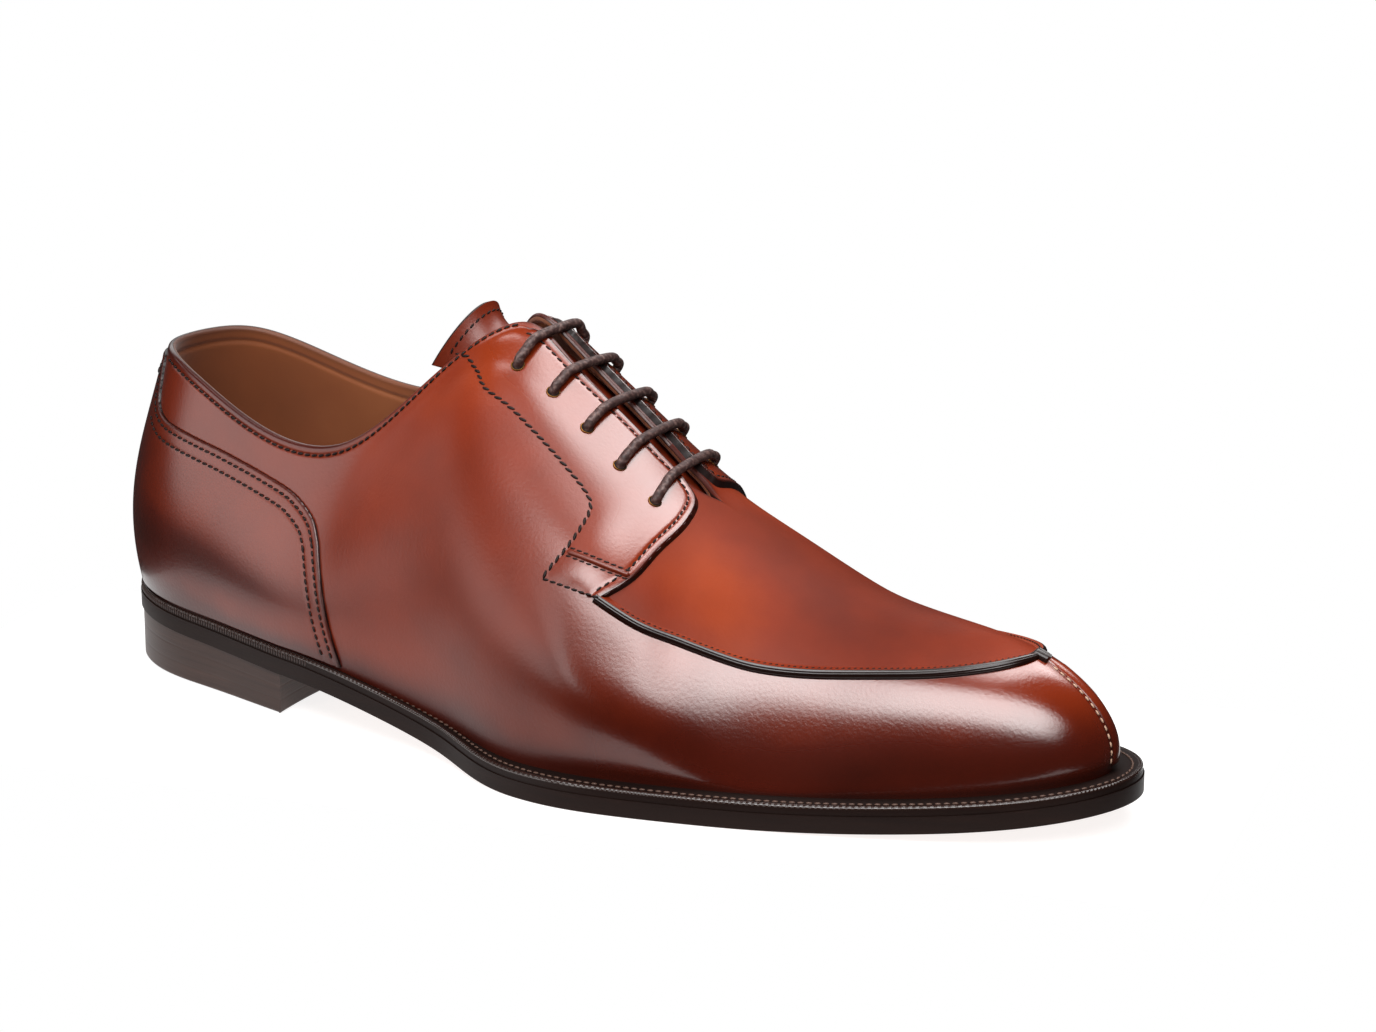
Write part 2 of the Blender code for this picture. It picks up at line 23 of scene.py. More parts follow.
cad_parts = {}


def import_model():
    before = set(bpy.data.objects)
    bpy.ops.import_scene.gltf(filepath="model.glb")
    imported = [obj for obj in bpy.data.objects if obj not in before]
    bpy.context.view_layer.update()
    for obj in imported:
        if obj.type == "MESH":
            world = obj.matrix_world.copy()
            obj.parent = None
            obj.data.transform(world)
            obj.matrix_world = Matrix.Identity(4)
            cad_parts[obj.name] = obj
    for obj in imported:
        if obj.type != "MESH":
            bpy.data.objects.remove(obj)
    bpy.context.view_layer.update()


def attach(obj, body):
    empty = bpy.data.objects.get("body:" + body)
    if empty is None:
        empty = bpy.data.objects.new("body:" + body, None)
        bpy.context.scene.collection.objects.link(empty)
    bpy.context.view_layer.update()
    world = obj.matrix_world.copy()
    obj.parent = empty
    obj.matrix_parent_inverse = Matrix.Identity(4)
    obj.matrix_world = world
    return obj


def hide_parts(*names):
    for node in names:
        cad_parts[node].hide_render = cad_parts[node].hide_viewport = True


LOG = logging.getLogger("derby")
MM = 0.001
BODY = "root"
BEDDED = 0.35  # how far a leather laid on the upper reaches into it
Array = np.ndarray
Surface = Callable[[Array, Array], Array]

# Centre of the box round the shoe in the form's frame.
ORIGIN = np.array([-2.98, -4.81, 0.0])

# Sections of the form on both sides, from the back of the heel (s 0) to the tip of the toe (s 1):
# lower edge of the upper in plan (x, lat, med) and how far the sole stands out past it (welt); lean
# of the wall there in degrees, and how far up it holds (rise); top edge (top_...); fall of the face
# from the top edge in degrees (tilt), and how far down it holds (crown).
STATION_COLUMNS = (
    "s", "x", "lat", "med", "welt", "lean", "rise",
    "top_x", "top_lat", "top_med", "top_z_lat", "top_z_med", "tilt", "crown",
)
STATIONS = (
    (0.00, -153.0, 0.0, 0.0, 1.6, 12, 0.40, -140.0, 0.0, 0.0, 91.8, 91.8, 76, 0.35),
    (0.07, -139.8, -17.8, 20.2, 1.3, 13, 0.42, -133.9, -13.9, 14.0, 91.5, 92.4, 75, 0.35),
    (0.17, -111.8, -26.9, 29.0, 1.4, 12, 0.40, -113.8, -23.3, 23.0, 84.7, 87.6, 80, 0.35),
    (0.30, -71.1, -35.5, 28.0, 2.1, 12, 0.40, -67.2, -24.5, 25.5, 75.0, 79.7, 76, 0.35),
    (0.375, -46.6, -38.2, 26.0, 2.7, 12, 0.40, -43.0, -16.3, 17.8, 95.1, 93.2, 52, 0.35),
    (0.45, -21.7, -42.4, 26.0, 3.2, 12, 0.41, -23.7, -2.5, 4.0, 108.6, 109.6, 26, 0.35),
    (0.51, -4.4, -48.3, 28.6, 4.7, 14, 0.41, -9.6, -2.0, 4.4, 100.3, 100.3, 17, 0.43),
    (0.58, 17.6, -51.0, 32.6, 6.3, 16, 0.35, 10.1, -1.4, 5.0, 84.3, 84.3, 12, 0.52),
    (0.64, 36.7, -48.3, 36.7, 6.5, 20, 0.24, 25.3, -0.8, 5.5, 71.5, 71.5, 10, 0.60),
    (0.72, 61.5, -41.7, 40.9, 6.6, 20, 0.04, 46.0, 2.6, 2.6, 60.6, 60.6, 5, 0.53),
    (0.86, 103.2, -27.5, 31.2, 6.9, 18, 0.12, 79.0, 2.3, 2.3, 47.9, 47.9, 5, 0.52),
    (0.95, 134.5, -11.0, 18.0, 7.5, 20, 0.23, 100.0, 2.5, 2.5, 44.7, 44.7, 5, 0.45),
    (1.00, 142.6, 3.2, 3.2, 7.4, 21, 0.33, 109.0, 2.8, 2.8, 44.0, 44.0, 8, 0.39),
)

# Edges of a lace facing (rear_s, rear_t, front_s, front_t), from the collar to the apron seam.
FACING = (
    (0.400, 0.970, 0.462, 0.980), (0.434, 0.878, 0.484, 0.983), (0.464, 0.812, 0.510, 0.984),
    (0.507, 0.803, 0.540, 0.984), (0.535, 0.796, 0.570, 0.984), (0.557, 0.785, 0.600, 0.984),
    (0.579, 0.766, 0.634, 0.982), (0.587, 0.738, 0.652, 0.945), (0.586, 0.677, 0.653, 0.860),
    (0.581, 0.605, 0.643, 0.760), (0.575, 0.550, 0.631, 0.650), (0.569, 0.497, 0.612, 0.545),
)

# Top edge of the heel counter (s, t) and the s of its lower edge, from the back strap forward.
COUNTER = (
    (0.000, 0.962, 0.000), (0.018, 0.962, 0.018), (0.036, 0.962, 0.036), (0.056, 0.962, 0.055),
    (0.074, 0.950, 0.072), (0.083, 0.880, 0.085), (0.093, 0.790, 0.100), (0.112, 0.755, 0.120),
    (0.138, 0.753, 0.145), (0.169, 0.769, 0.178), (0.202, 0.795, 0.215), (0.232, 0.803, 0.250),
    (0.258, 0.780, 0.280), (0.274, 0.730, 0.303), (0.290, 0.640, 0.322), (0.301, 0.530, 0.335),
)

# Line of the apron seam (s, t on the outer side, t on the inner side), from the facing to the toe.
APRON = (
    (0.622, 0.545, 0.575), (0.665, 0.545, 0.575), (0.700, 0.549, 0.575), (0.736, 0.557, 0.580),
    (0.784, 0.582, 0.595), (0.839, 0.617, 0.620), (0.906, 0.656, 0.656), (0.949, 0.692, 0.692),
    (0.982, 0.730, 0.730), (1.000, 0.738, 0.738),
)

# Eyelets of one row (s, t), from the top one down.
EYELETS = ((0.481, 0.897), (0.521, 0.901), (0.557, 0.892), (0.590, 0.876), (0.625, 0.866))

# Hand-rubbed colour of the calf: s and t of a place, its reach in s and t, and how much warmer (+)
# or darker (-) it is.
PATINA = (
    (0.84, 0.88, 0.17, 0.27, -0.06),
    (0.69, 0.74, 0.06, 0.17, 0.24),
    (0.455, 0.88, 0.05, 0.14, 0.12),
    (0.00, 0.45, 0.14, 0.90, -0.34),
    (0.18, 0.24, 0.16, 0.11, -0.24),
    (0.82, 0.21, 0.26, 0.22, -0.38),
    (1.00, 0.45, 0.05, 0.30, 0.06),
)

# Soft swells (+) and troughs (-) of the outer side over the last: s, t, reach in s and t, millimetres.
SWELLS = (
    (0.62, 0.27, 0.065, 0.12, 2.2),
    (0.52, 0.52, 0.06, 0.14, -0.5),
)


def smoothstep(x: Array) -> Array:
    """Ease from 0 to 1."""
    x = np.clip(x, 0.0, 1.0)
    return x * x * (3.0 - 2.0 * x)


def through_rows(rows: Sequence[Sequence[float]], u: Array) -> Array:
    """Read a smooth curve through evenly numbered rows.

    Args:
        rows: the values the curve passes through.
        u: places on it from 0 to 1.

    Returns:
        One row of values for each place.
    """
    table = np.array(rows, float)
    place = np.clip(np.asarray(u, float), 0.0, 1.0) * (len(table) - 1)
    i = np.minimum(place.astype(int), len(table) - 2)
    f = (place - i)[..., None]
    ends = 2 * table[:1] - table[1:2], 2 * table[-1:] - table[-2:-1]
    padded = np.concatenate([ends[0], table, ends[1]])
    a, b, c, d = padded[i], padded[i + 1], padded[i + 2], padded[i + 3]
    return 0.5 * (
        2 * b + (c - a) * f + (2 * a - 5 * b + 4 * c - d) * f**2 + (3 * b - a - 3 * c + d) * f**3
    )


def catmull_weights(f: Array) -> tuple[Array, Array, Array, Array]:
    """Weights of the four rows round a place, at a fraction f past the second of them.

    Args:
        f: fractions from 0 to 1.

    Returns:
        Four weights for each fraction.
    """
    return (
        0.5 * (2.0 * f**2 - f - f**3), 0.5 * (2.0 - 5.0 * f**2 + 3.0 * f**3),
        0.5 * (f + 4.0 * f**2 - 3.0 * f**3), 0.5 * (f**3 - f**2),
    )


def unit(vectors: Array) -> Array:
    """Scale vectors to a length of one."""
    return vectors / np.linalg.norm(vectors, axis=-1, keepdims=True)


def nearest(points: Array, line: Array) -> Array:
    """Distance from each point to the closest point of a finely divided line.

    Args:
        points: points to measure from.
        line: points of the line.

    Returns:
        One distance for each point.
    """
    found = np.full(len(points), 1e9)
    for start in range(0, len(line), 64):
        part = line[start : start + 64]
        gaps = np.linalg.norm(points[:, None, :] - part[None, :, :], axis=-1)
        found = np.minimum(found, gaps.min(1))
    return found


def rounded_drop(depth: Array, radius: float) -> Array:
    """Fall of a rounded edge below its face, at a depth in from the edge."""
    inside = np.clip(radius - depth, 0.0, radius)
    return radius - np.sqrt(np.maximum(radius**2 - inside**2, 0.0))


def groove(depth: Array, middle: float, width: float) -> Array:
    """Soft groove or swell: 1 along a line at a distance from an edge, 0 away from it."""
    return np.exp(-(((depth - middle) / width) ** 2))


class ClosedSpline:
    """Smooth closed curve through rows of values."""

    def __init__(self, knots: Array, values: Array, period: float) -> None:
        """Solve the bends of the curve.

        Args:
            knots: place of each row.
            values: the rows.
            period: length of the loop.
        """
        count = len(knots)
        steps = np.diff(np.append(knots, knots[0] + period))
        before = np.roll(steps, 1)
        matrix = np.zeros((count, count))
        right = np.zeros(values.shape)
        for i in range(count):
            last, following = (i - 1) % count, (i + 1) % count
            matrix[i, last] += before[i]
            matrix[i, i] += 2.0 * (before[i] + steps[i])
            matrix[i, following] += steps[i]
            slope_out = (values[following] - values[i]) / steps[i]
            slope_in = (values[i] - values[last]) / before[i]
            right[i] = 6.0 * (slope_out - slope_in)
        self.bends = np.linalg.solve(matrix, right)
        self.knots, self.values, self.steps, self.period = knots, values, steps, period

    def __call__(self, q: Array) -> Array:
        """Values of the curve at q.

        Args:
            q: places on the loop.

        Returns:
            One row of values for each place.
        """
        q = np.asarray(q, float) % self.period
        i = np.clip(np.searchsorted(self.knots, q, side="right") - 1, 0, len(self.knots) - 1)
        j = (i + 1) % len(self.knots)
        h = self.steps[i][..., None]
        d = (q - self.knots[i])[..., None]
        e = h - d
        cubic = (self.bends[i] * e**3 + self.bends[j] * d**3) / (6.0 * h)
        first = (self.values[i] / h - self.bends[i] * h / 6.0) * e
        return cubic + first + (self.values[j] / h - self.bends[j] * h / 6.0) * d


def station_spline() -> ClosedSpline:
    """Spline of the section values round the whole foot form.

    Returns:
        The closed spline through the sections of both sides.
    """
    rows = np.array(STATIONS, float)
    column = {name: rows[:, i] for i, name in enumerate(STATION_COLUMNS)}

    def both(outer: str, inner: str | None = None) -> Array:
        """Column of the outer side followed by that of the inner side, back to the heel."""
        return np.concatenate([column[outer], column[inner or outer][1:-1][::-1]])

    knots = np.concatenate([column["s"], 2.0 - column["s"][1:-1][::-1]])
    pairs = (
        ("x", None), ("lat", "med"), ("welt", None), ("lean", None), ("rise", None),
        ("top_x", None), ("top_lat", "top_med"), ("top_z_lat", "top_z_med"),
        ("tilt", None), ("crown", None),
    )
    return ClosedSpline(knots, np.stack([both(*pair) for pair in pairs], 1), 2.0)


def matched(q: Array | float, t: Array | float) -> Sequence[Array]:
    """The same places as arrays of one shape."""
    return np.broadcast_arrays(np.asarray(q, float), np.asarray(t, float))


def side_place(q: Array) -> Array:
    """Place s from heel to toe of a q on either side."""
    return 1.0 - np.abs(1.0 - np.asarray(q, float) % 2.0)


@dataclass
class FootForm:
    """Outer face of the upper, and the line of the sole under it."""

    heel_seat: float = 11.3  # height of the sole's underside at the front of the heel
    heel_rise: float = 0.05  # and its slope from there to the back
    heel_breast: float = -82.5  # x of the heel's front face
    arch_end: float = 6.5  # x where the sole comes down to the floor
    spring_start: float = 58.9  # x where it leaves the floor again
    spring_end: float = 150.0
    toe_spring: float = 7.9  # its height there
    feather: float = 7.2  # lower edge of the upper above the sole's underside
    slit_end: float = 0.64  # s where the throat begins to close
    slit_closed: float = 0.675
    wall: float = 2.2  # calf and lining
    spline: ClosedSpline = field(default_factory=station_spline)
    lattice_size: tuple[int, int] = (640, 120)
    waist: tuple[float, float, float] = (0.31, 0.60, 0.82)  # start, outer end and inner end of the waist
    waist_passes: int = 260  # rounds of evening out there
    ground_tone: float = 0.56
    # Painted shade: the calf is painted darker just above the welt, where shade falls in the crease at the
    # welt, together with the darker burnish there.
    welt_burnish_and_painted_shade: float = 0.30  # how much darker the calf is just above the welt
    brushed: float = 0.30  # polish of the quarters
    toe_polish: float = 0.62  # polish added on the toe
    heel_polish: float = 0.28  # and on the heel
    lattice: Array = field(init=False)

    def __post_init__(self) -> None:
        """Lay the sections on a lattice, even them out along the waist and add the swells."""
        columns, rows = self.lattice_size
        round_q, up_t = np.arange(columns) * 2.0 / columns, np.linspace(0.0, 1.0, rows + 1)
        q, t = np.meshgrid(round_q, up_t, indexing="ij")
        found = self.section(q, t)
        s = side_place(q)
        end = np.where(q < 1.0, self.waist[1], self.waist[2])
        along = smoothstep((s - self.waist[0]) / 0.06) * smoothstep((end - s) / 0.06)
        share = (along * smoothstep((0.985 - t) / 0.10) * smoothstep(t / 0.12))[..., None]
        for _ in range(self.waist_passes):
            mean = 0.5 * (np.roll(found, 1, 0) + np.roll(found, -1, 0))
            found = found + 0.5 * share * (mean - found)
        self.set_lattice(found)
        swell = np.zeros(s.shape)
        for place, height, reach, spread, rise in SWELLS:
            swell += rise * np.exp(-(((s - place) / reach) ** 2) - ((t - height) / spread) ** 2)
        swell *= smoothstep(t / 0.12) * smoothstep((1.0 - t) / 0.12) * (q < 1.0)
        self.set_lattice(found + self.normal(q, t) * swell[..., None])

    def set_lattice(self, found: Array) -> None:
        """Keep the lattice's points, with a row more past each edge."""
        ends = 2.0 * found[:, :1] - found[:, 1:2], 2.0 * found[:, -1:] - found[:, -2:-1]
        self.lattice = np.concatenate([ends[0], found, ends[1]], 1)

    def sole_height(self, x: Array) -> Array:
        """Height of the sole's underside above the floor at x.

        Args:
            x: distances towards the toe.

        Returns:
            One height for each x.
        """
        x = np.asarray(x, float)
        down = smoothstep((x - self.heel_breast) / (self.arch_end - self.heel_breast))
        seat = self.heel_seat * (1.0 - down)
        seat = seat + self.heel_rise * np.clip(self.heel_breast - x, 0.0, None)
        spring = np.clip((x - self.spring_start) / (self.spring_end - self.spring_start), 0.0, None)
        return seat + self.toe_spring * spring**2

    def over_sole(self, flat: Array, high: Array | float) -> Array:
        """Plan points at these heights over the sole's underside."""
        return np.concatenate([flat, (self.sole_height(flat[:, 0]) + high)[:, None]], -1)

    def edge_normal(self, q: Array) -> Array:
        """Unit normal of the sole's edge in plan, pointing out."""
        along = unit(self.spline(q + 1e-4)[..., :2] - self.spline(q - 1e-4)[..., :2])
        return np.stack([along[..., 1], -along[..., 0]], -1)

    def edge_point(self, q: Array, out: Array) -> Array:
        """Plan point of the upper's lower edge at q, moved out by this many millimetres."""
        return self.spline(q)[..., :2] + self.edge_normal(q) * np.asarray(out, float)[..., None]

    def ledge(self, q: Array) -> Array:
        """How far the sole stands out past the upper at q."""
        return self.spline(q)[..., 2]

    def top_point(self, q: Array) -> Array:
        """Point of the collar, the throat or the centre line of the vamp at q.

        Args:
            q: places round the sole's edge.

        Returns:
            One point for each q.
        """
        q = np.asarray(q, float)
        here = self.spline(q)[..., 5:8]
        middle = 0.5 * (here + self.spline(2.0 - q)[..., 5:8])
        span = self.slit_closed - self.slit_end
        apart = smoothstep((self.slit_closed - side_place(q)) / span)[..., None]
        return middle + (here - middle) * apart

    def ridge_slope(self, s: Array) -> Array:
        """Fall of the vamp's centre line at s, as rise over run.

        Args:
            s: places from the heel, 0, to the toe, 1.

        Returns:
            One slope for each s.
        """
        near = np.clip(s, 0.66, 0.985)
        ends = [self.spline(near + step) + self.spline(2.0 - near - step) for step in (-0.012, 0.012)]
        return (ends[1][..., 7] - ends[0][..., 7]) / (ends[1][..., 5] - ends[0][..., 5])

    def point(self, q: Array, t: Array) -> Array:
        """Point of the upper's outer face, read smoothly from the lattice.

        Args:
            q: places round the sole's edge.
            t: heights up the form, from 0 to 1.

        Returns:
            One point for each pair.
        """
        q, t = matched(q, t)
        columns, rows = self.lattice_size
        place, height = (q % 2.0) * columns / 2.0, np.clip(t, 0.0, 1.0) * rows
        i, j = np.floor(place).astype(int), np.minimum(height.astype(int), rows - 1)
        across, upward = catmull_weights(place - i), catmull_weights(height - j)
        found = np.zeros((*q.shape, 3))
        for a in range(4):
            for b in range(4):
                weight = across[a] * upward[b]
                found += weight[..., None] * self.lattice[(i + a - 1) % columns, j + b]
        return found

    def section(self, q: Array, t: Array) -> Array:
        """Point of the outer face from the sections alone.

        Args:
            q: places round the sole's edge.
            t: heights up the form, from 0 to 1.

        Returns:
            One point for each pair.
        """
        q, t = matched(q, t)
        values = self.spline(q)
        flat = self.edge_normal(q)
        out = np.concatenate([flat, np.zeros_like(flat[..., :1])], -1)
        up = np.array([0.0, 0.0, 1.0])
        foot_z = self.sole_height(values[..., 0]) + self.feather
        foot = np.concatenate([values[..., :2], foot_z[..., None]], -1)
        top = self.top_point(q)
        length = np.linalg.norm(foot - top, axis=-1, keepdims=True)
        s = side_place(q)
        level = np.arctan(-flat[..., 0] * self.ridge_slope(s))
        share = smoothstep((s - 0.655) / 0.05)
        tilt = np.radians(values[..., 8])
        tilt = (tilt + (level - tilt) * share)[..., None]
        lean = np.radians(values[..., 3:4])
        low = foot + length * values[..., 4:5] * (out * np.sin(lean) + up * np.cos(lean))
        high = top + length * values[..., 9:10] * (out * np.cos(tilt) - up * np.sin(tilt))
        t = t[..., None]
        start = foot * (1 - t) ** 3 + 3 * low * t * (1 - t) ** 2
        return start + 3 * high * t * t * (1 - t) + top * t**3

    def slopes(self, q: Array, t: Array) -> tuple[Array, Array]:
        """Change of the point with q and with t.

        Args:
            q: places round the sole's edge.
            t: heights up the form, from 0 to 1.

        Returns:
            The change for a whole unit of q, and of t.
        """
        step = 1e-3
        t = np.clip(t, step, 0.985)
        around = self.point(q + step, t) - self.point(q - step, t)
        upward = self.point(q, t + step) - self.point(q, t - step)
        return around / (2.0 * step), upward / (2.0 * step)

    def normal(self, q: Array, t: Array) -> Array:
        """Outward unit normal of the outer face."""
        return unit(np.cross(*self.slopes(*matched(q, t))))

    def lifted(self, q: Array, t: Array, lift: Array | float) -> Array:
        """Point at a distance out from the outer face, or in from it where lift is negative.

        Args:
            q: places round the sole's edge.
            t: heights up the form, from 0 to 1.
            lift: distances in millimetres.

        Returns:
            One point for each pair.
        """
        q, t = matched(q, t)
        normal = self.normal(q, t)
        ridge = ((t > 0.999) & (side_place(q) >= self.slit_closed))[..., None]
        shared = unit(normal + self.normal(2.0 - q, t))
        lift = np.broadcast_to(np.asarray(lift, float), q.shape)
        return self.point(q, t) + np.where(ridge, shared, normal) * lift[..., None]

    def beside(self, q: Array, t: Array, distance: float) -> tuple[Array, Array]:
        """Move a line over the face to its left, seen from outside, by a distance.

        Args:
            q: q of the line's points, in order.
            t: t of the line's points.
            distance: how far to the left, in millimetres.

        Returns:
            The q and t of the moved line.
        """
        around, upward = self.slopes(q, t)
        along = np.gradient(self.point(q, t), axis=0)
        aside = unit(np.cross(self.normal(q, t), along)) * distance
        aa, bb = (around * around).sum(-1), (upward * upward).sum(-1)
        ab = (around * upward).sum(-1)
        ra, rb = (around * aside).sum(-1), (upward * aside).sum(-1)
        span = aa * bb - ab * ab
        return q + (ra * bb - rb * ab) / span, t + (rb * aa - ra * ab) / span

    def rim_depth(self, q: Array, t: Array) -> Array:
        """Distance down from the collar or the throat edge, in millimetres."""
        return (1.0 - t) * self.rim_reach(q)

    def rim_reach(self, q: Array) -> Array:
        """Length of the face near its top edge, for a whole unit of t."""
        return np.linalg.norm(self.slopes(q, np.full(np.shape(q), 0.97))[1], axis=-1)

    def tone(self, q: Array, t: Array) -> Array:
        """How warm the hand-rubbed colour is, from 0, dark, to 1, with painted shade just above the welt.

        Args:
            q: places round the sole's edge.
            t: heights up the form, from 0 to 1.

        Returns:
            One tone for each pair.
        """
        s = side_place(q)
        found = np.full(np.shape(s), self.ground_tone)
        for place, height, reach, spread, gain in PATINA:
            found += gain * np.exp(-(((s - place) / reach) ** 2) - ((t - height) / spread) ** 2)
        # Painted shade in the crease just above the welt, mixed with the darker burnish there.
        found -= self.welt_burnish_and_painted_shade * groove(t, 0.0, 0.07)
        return np.clip(found, 0.0, 1.0)

    def gloss(self, q: Array, t: Array) -> Array:
        """How far the polish is worked up, from 0 to 1.

        Args:
            q: places round the sole's edge.
            t: heights up the form, from 0 to 1.

        Returns:
            One share for each pair.
        """
        s = side_place(q)
        toe = smoothstep((s - 0.53) / 0.17) * smoothstep((0.80 - t) / 0.15)
        heel = smoothstep((0.36 - s) / 0.1)
        return self.brushed + self.toe_polish * toe + self.heel_polish * heel


def spread_sections(crowding: Sequence[tuple[float, float, float]]) -> tuple[Array, Array]:
    """Places of sections along a side, closer where the form turns faster.

    Args:
        crowding: rows of s, spread and weight of each closer stretch.

    Returns:
        Even steps from 0 to 1, and the s of the section at each of them.
    """
    s = np.linspace(0.0, 1.0, 801)
    density = np.ones(s.shape)
    for middle, spread, weight in crowding:
        density += weight * np.exp(-(((s - middle) / spread) ** 2))
    passed = np.concatenate([[0.0], np.cumsum(0.5 * (density[1:] + density[:-1]))])
    return passed / passed[-1], s


SECTIONS = spread_sections(((0.0, 0.07, 1.2), (0.44, 0.06, 1.2), (0.66, 0.03, 0.8), (1.0, 0.08, 1.2)))


def around_q(u: Array) -> Array:
    """The q of section u, from 0 to 2 round the shoe."""
    s = np.interp(1.0 - np.abs(1.0 - u), *SECTIONS)
    return np.where(u <= 1.0, s, 2.0 - s)


class Side(Enum):
    """Side of the shoe."""

    OUTER = "outer"
    INNER = "inner"

    def q(self, s: Array) -> Array:
        """The q of a place s on this side."""
        return np.asarray(s, float) if self is Side.OUTER else 2.0 - np.asarray(s, float)


def metres(points: Array) -> Array:
    """Move points from the form's frame in millimetres to the shoe's frame in metres."""
    return (np.asarray(points, float) - ORIGIN) * MM


def frame_of(axes: Sequence[Array], spot: Array) -> Matrix:
    """Frame with three axes at a place, all in metres.

    Args:
        axes: the three axes, with their lengths.
        spot: the place.

    Returns:
        The frame's matrix.
    """
    frame = Matrix.Identity(4)
    for k, axis in enumerate(axes):
        for i in range(3):
            frame[i][k] = axis[i]
    frame.translation = Vector(spot)
    return frame


def hex_colour(code: str) -> tuple[float, float, float, float]:
    """Turn an sRGB hex value into a linear colour.

    Args:
        code: the hex value, with its hash sign.

    Returns:
        Red, green, blue and an alpha of 1.
    """
    parts = [int(code[i : i + 2], 16) / 255.0 for i in (1, 3, 5)]
    linear = [p / 12.92 if p <= 0.04045 else ((p + 0.055) / 1.055) ** 2.4 for p in parts]
    return (linear[0], linear[1], linear[2], 1.0)


def add_node(
    tree: bpy.types.NodeTree, kind: str, inputs: dict[str | int, object], **settings: object
) -> bpy.types.Node:
    """Add a node with its settings and links.

    Args:
        tree: node tree it goes into.
        kind: the node's type.
        inputs: value or source socket for each named or numbered input.
        settings: the node's own properties.

    Returns:
        The new node.
    """
    node = tree.nodes.new(kind)
    for name, value in settings.items():
        setattr(node, name, value)
    for name, value in inputs.items():
        if isinstance(value, bpy.types.NodeSocket):
            tree.links.new(value, node.inputs[name])
        else:
            node.inputs[name].default_value = value
    return node


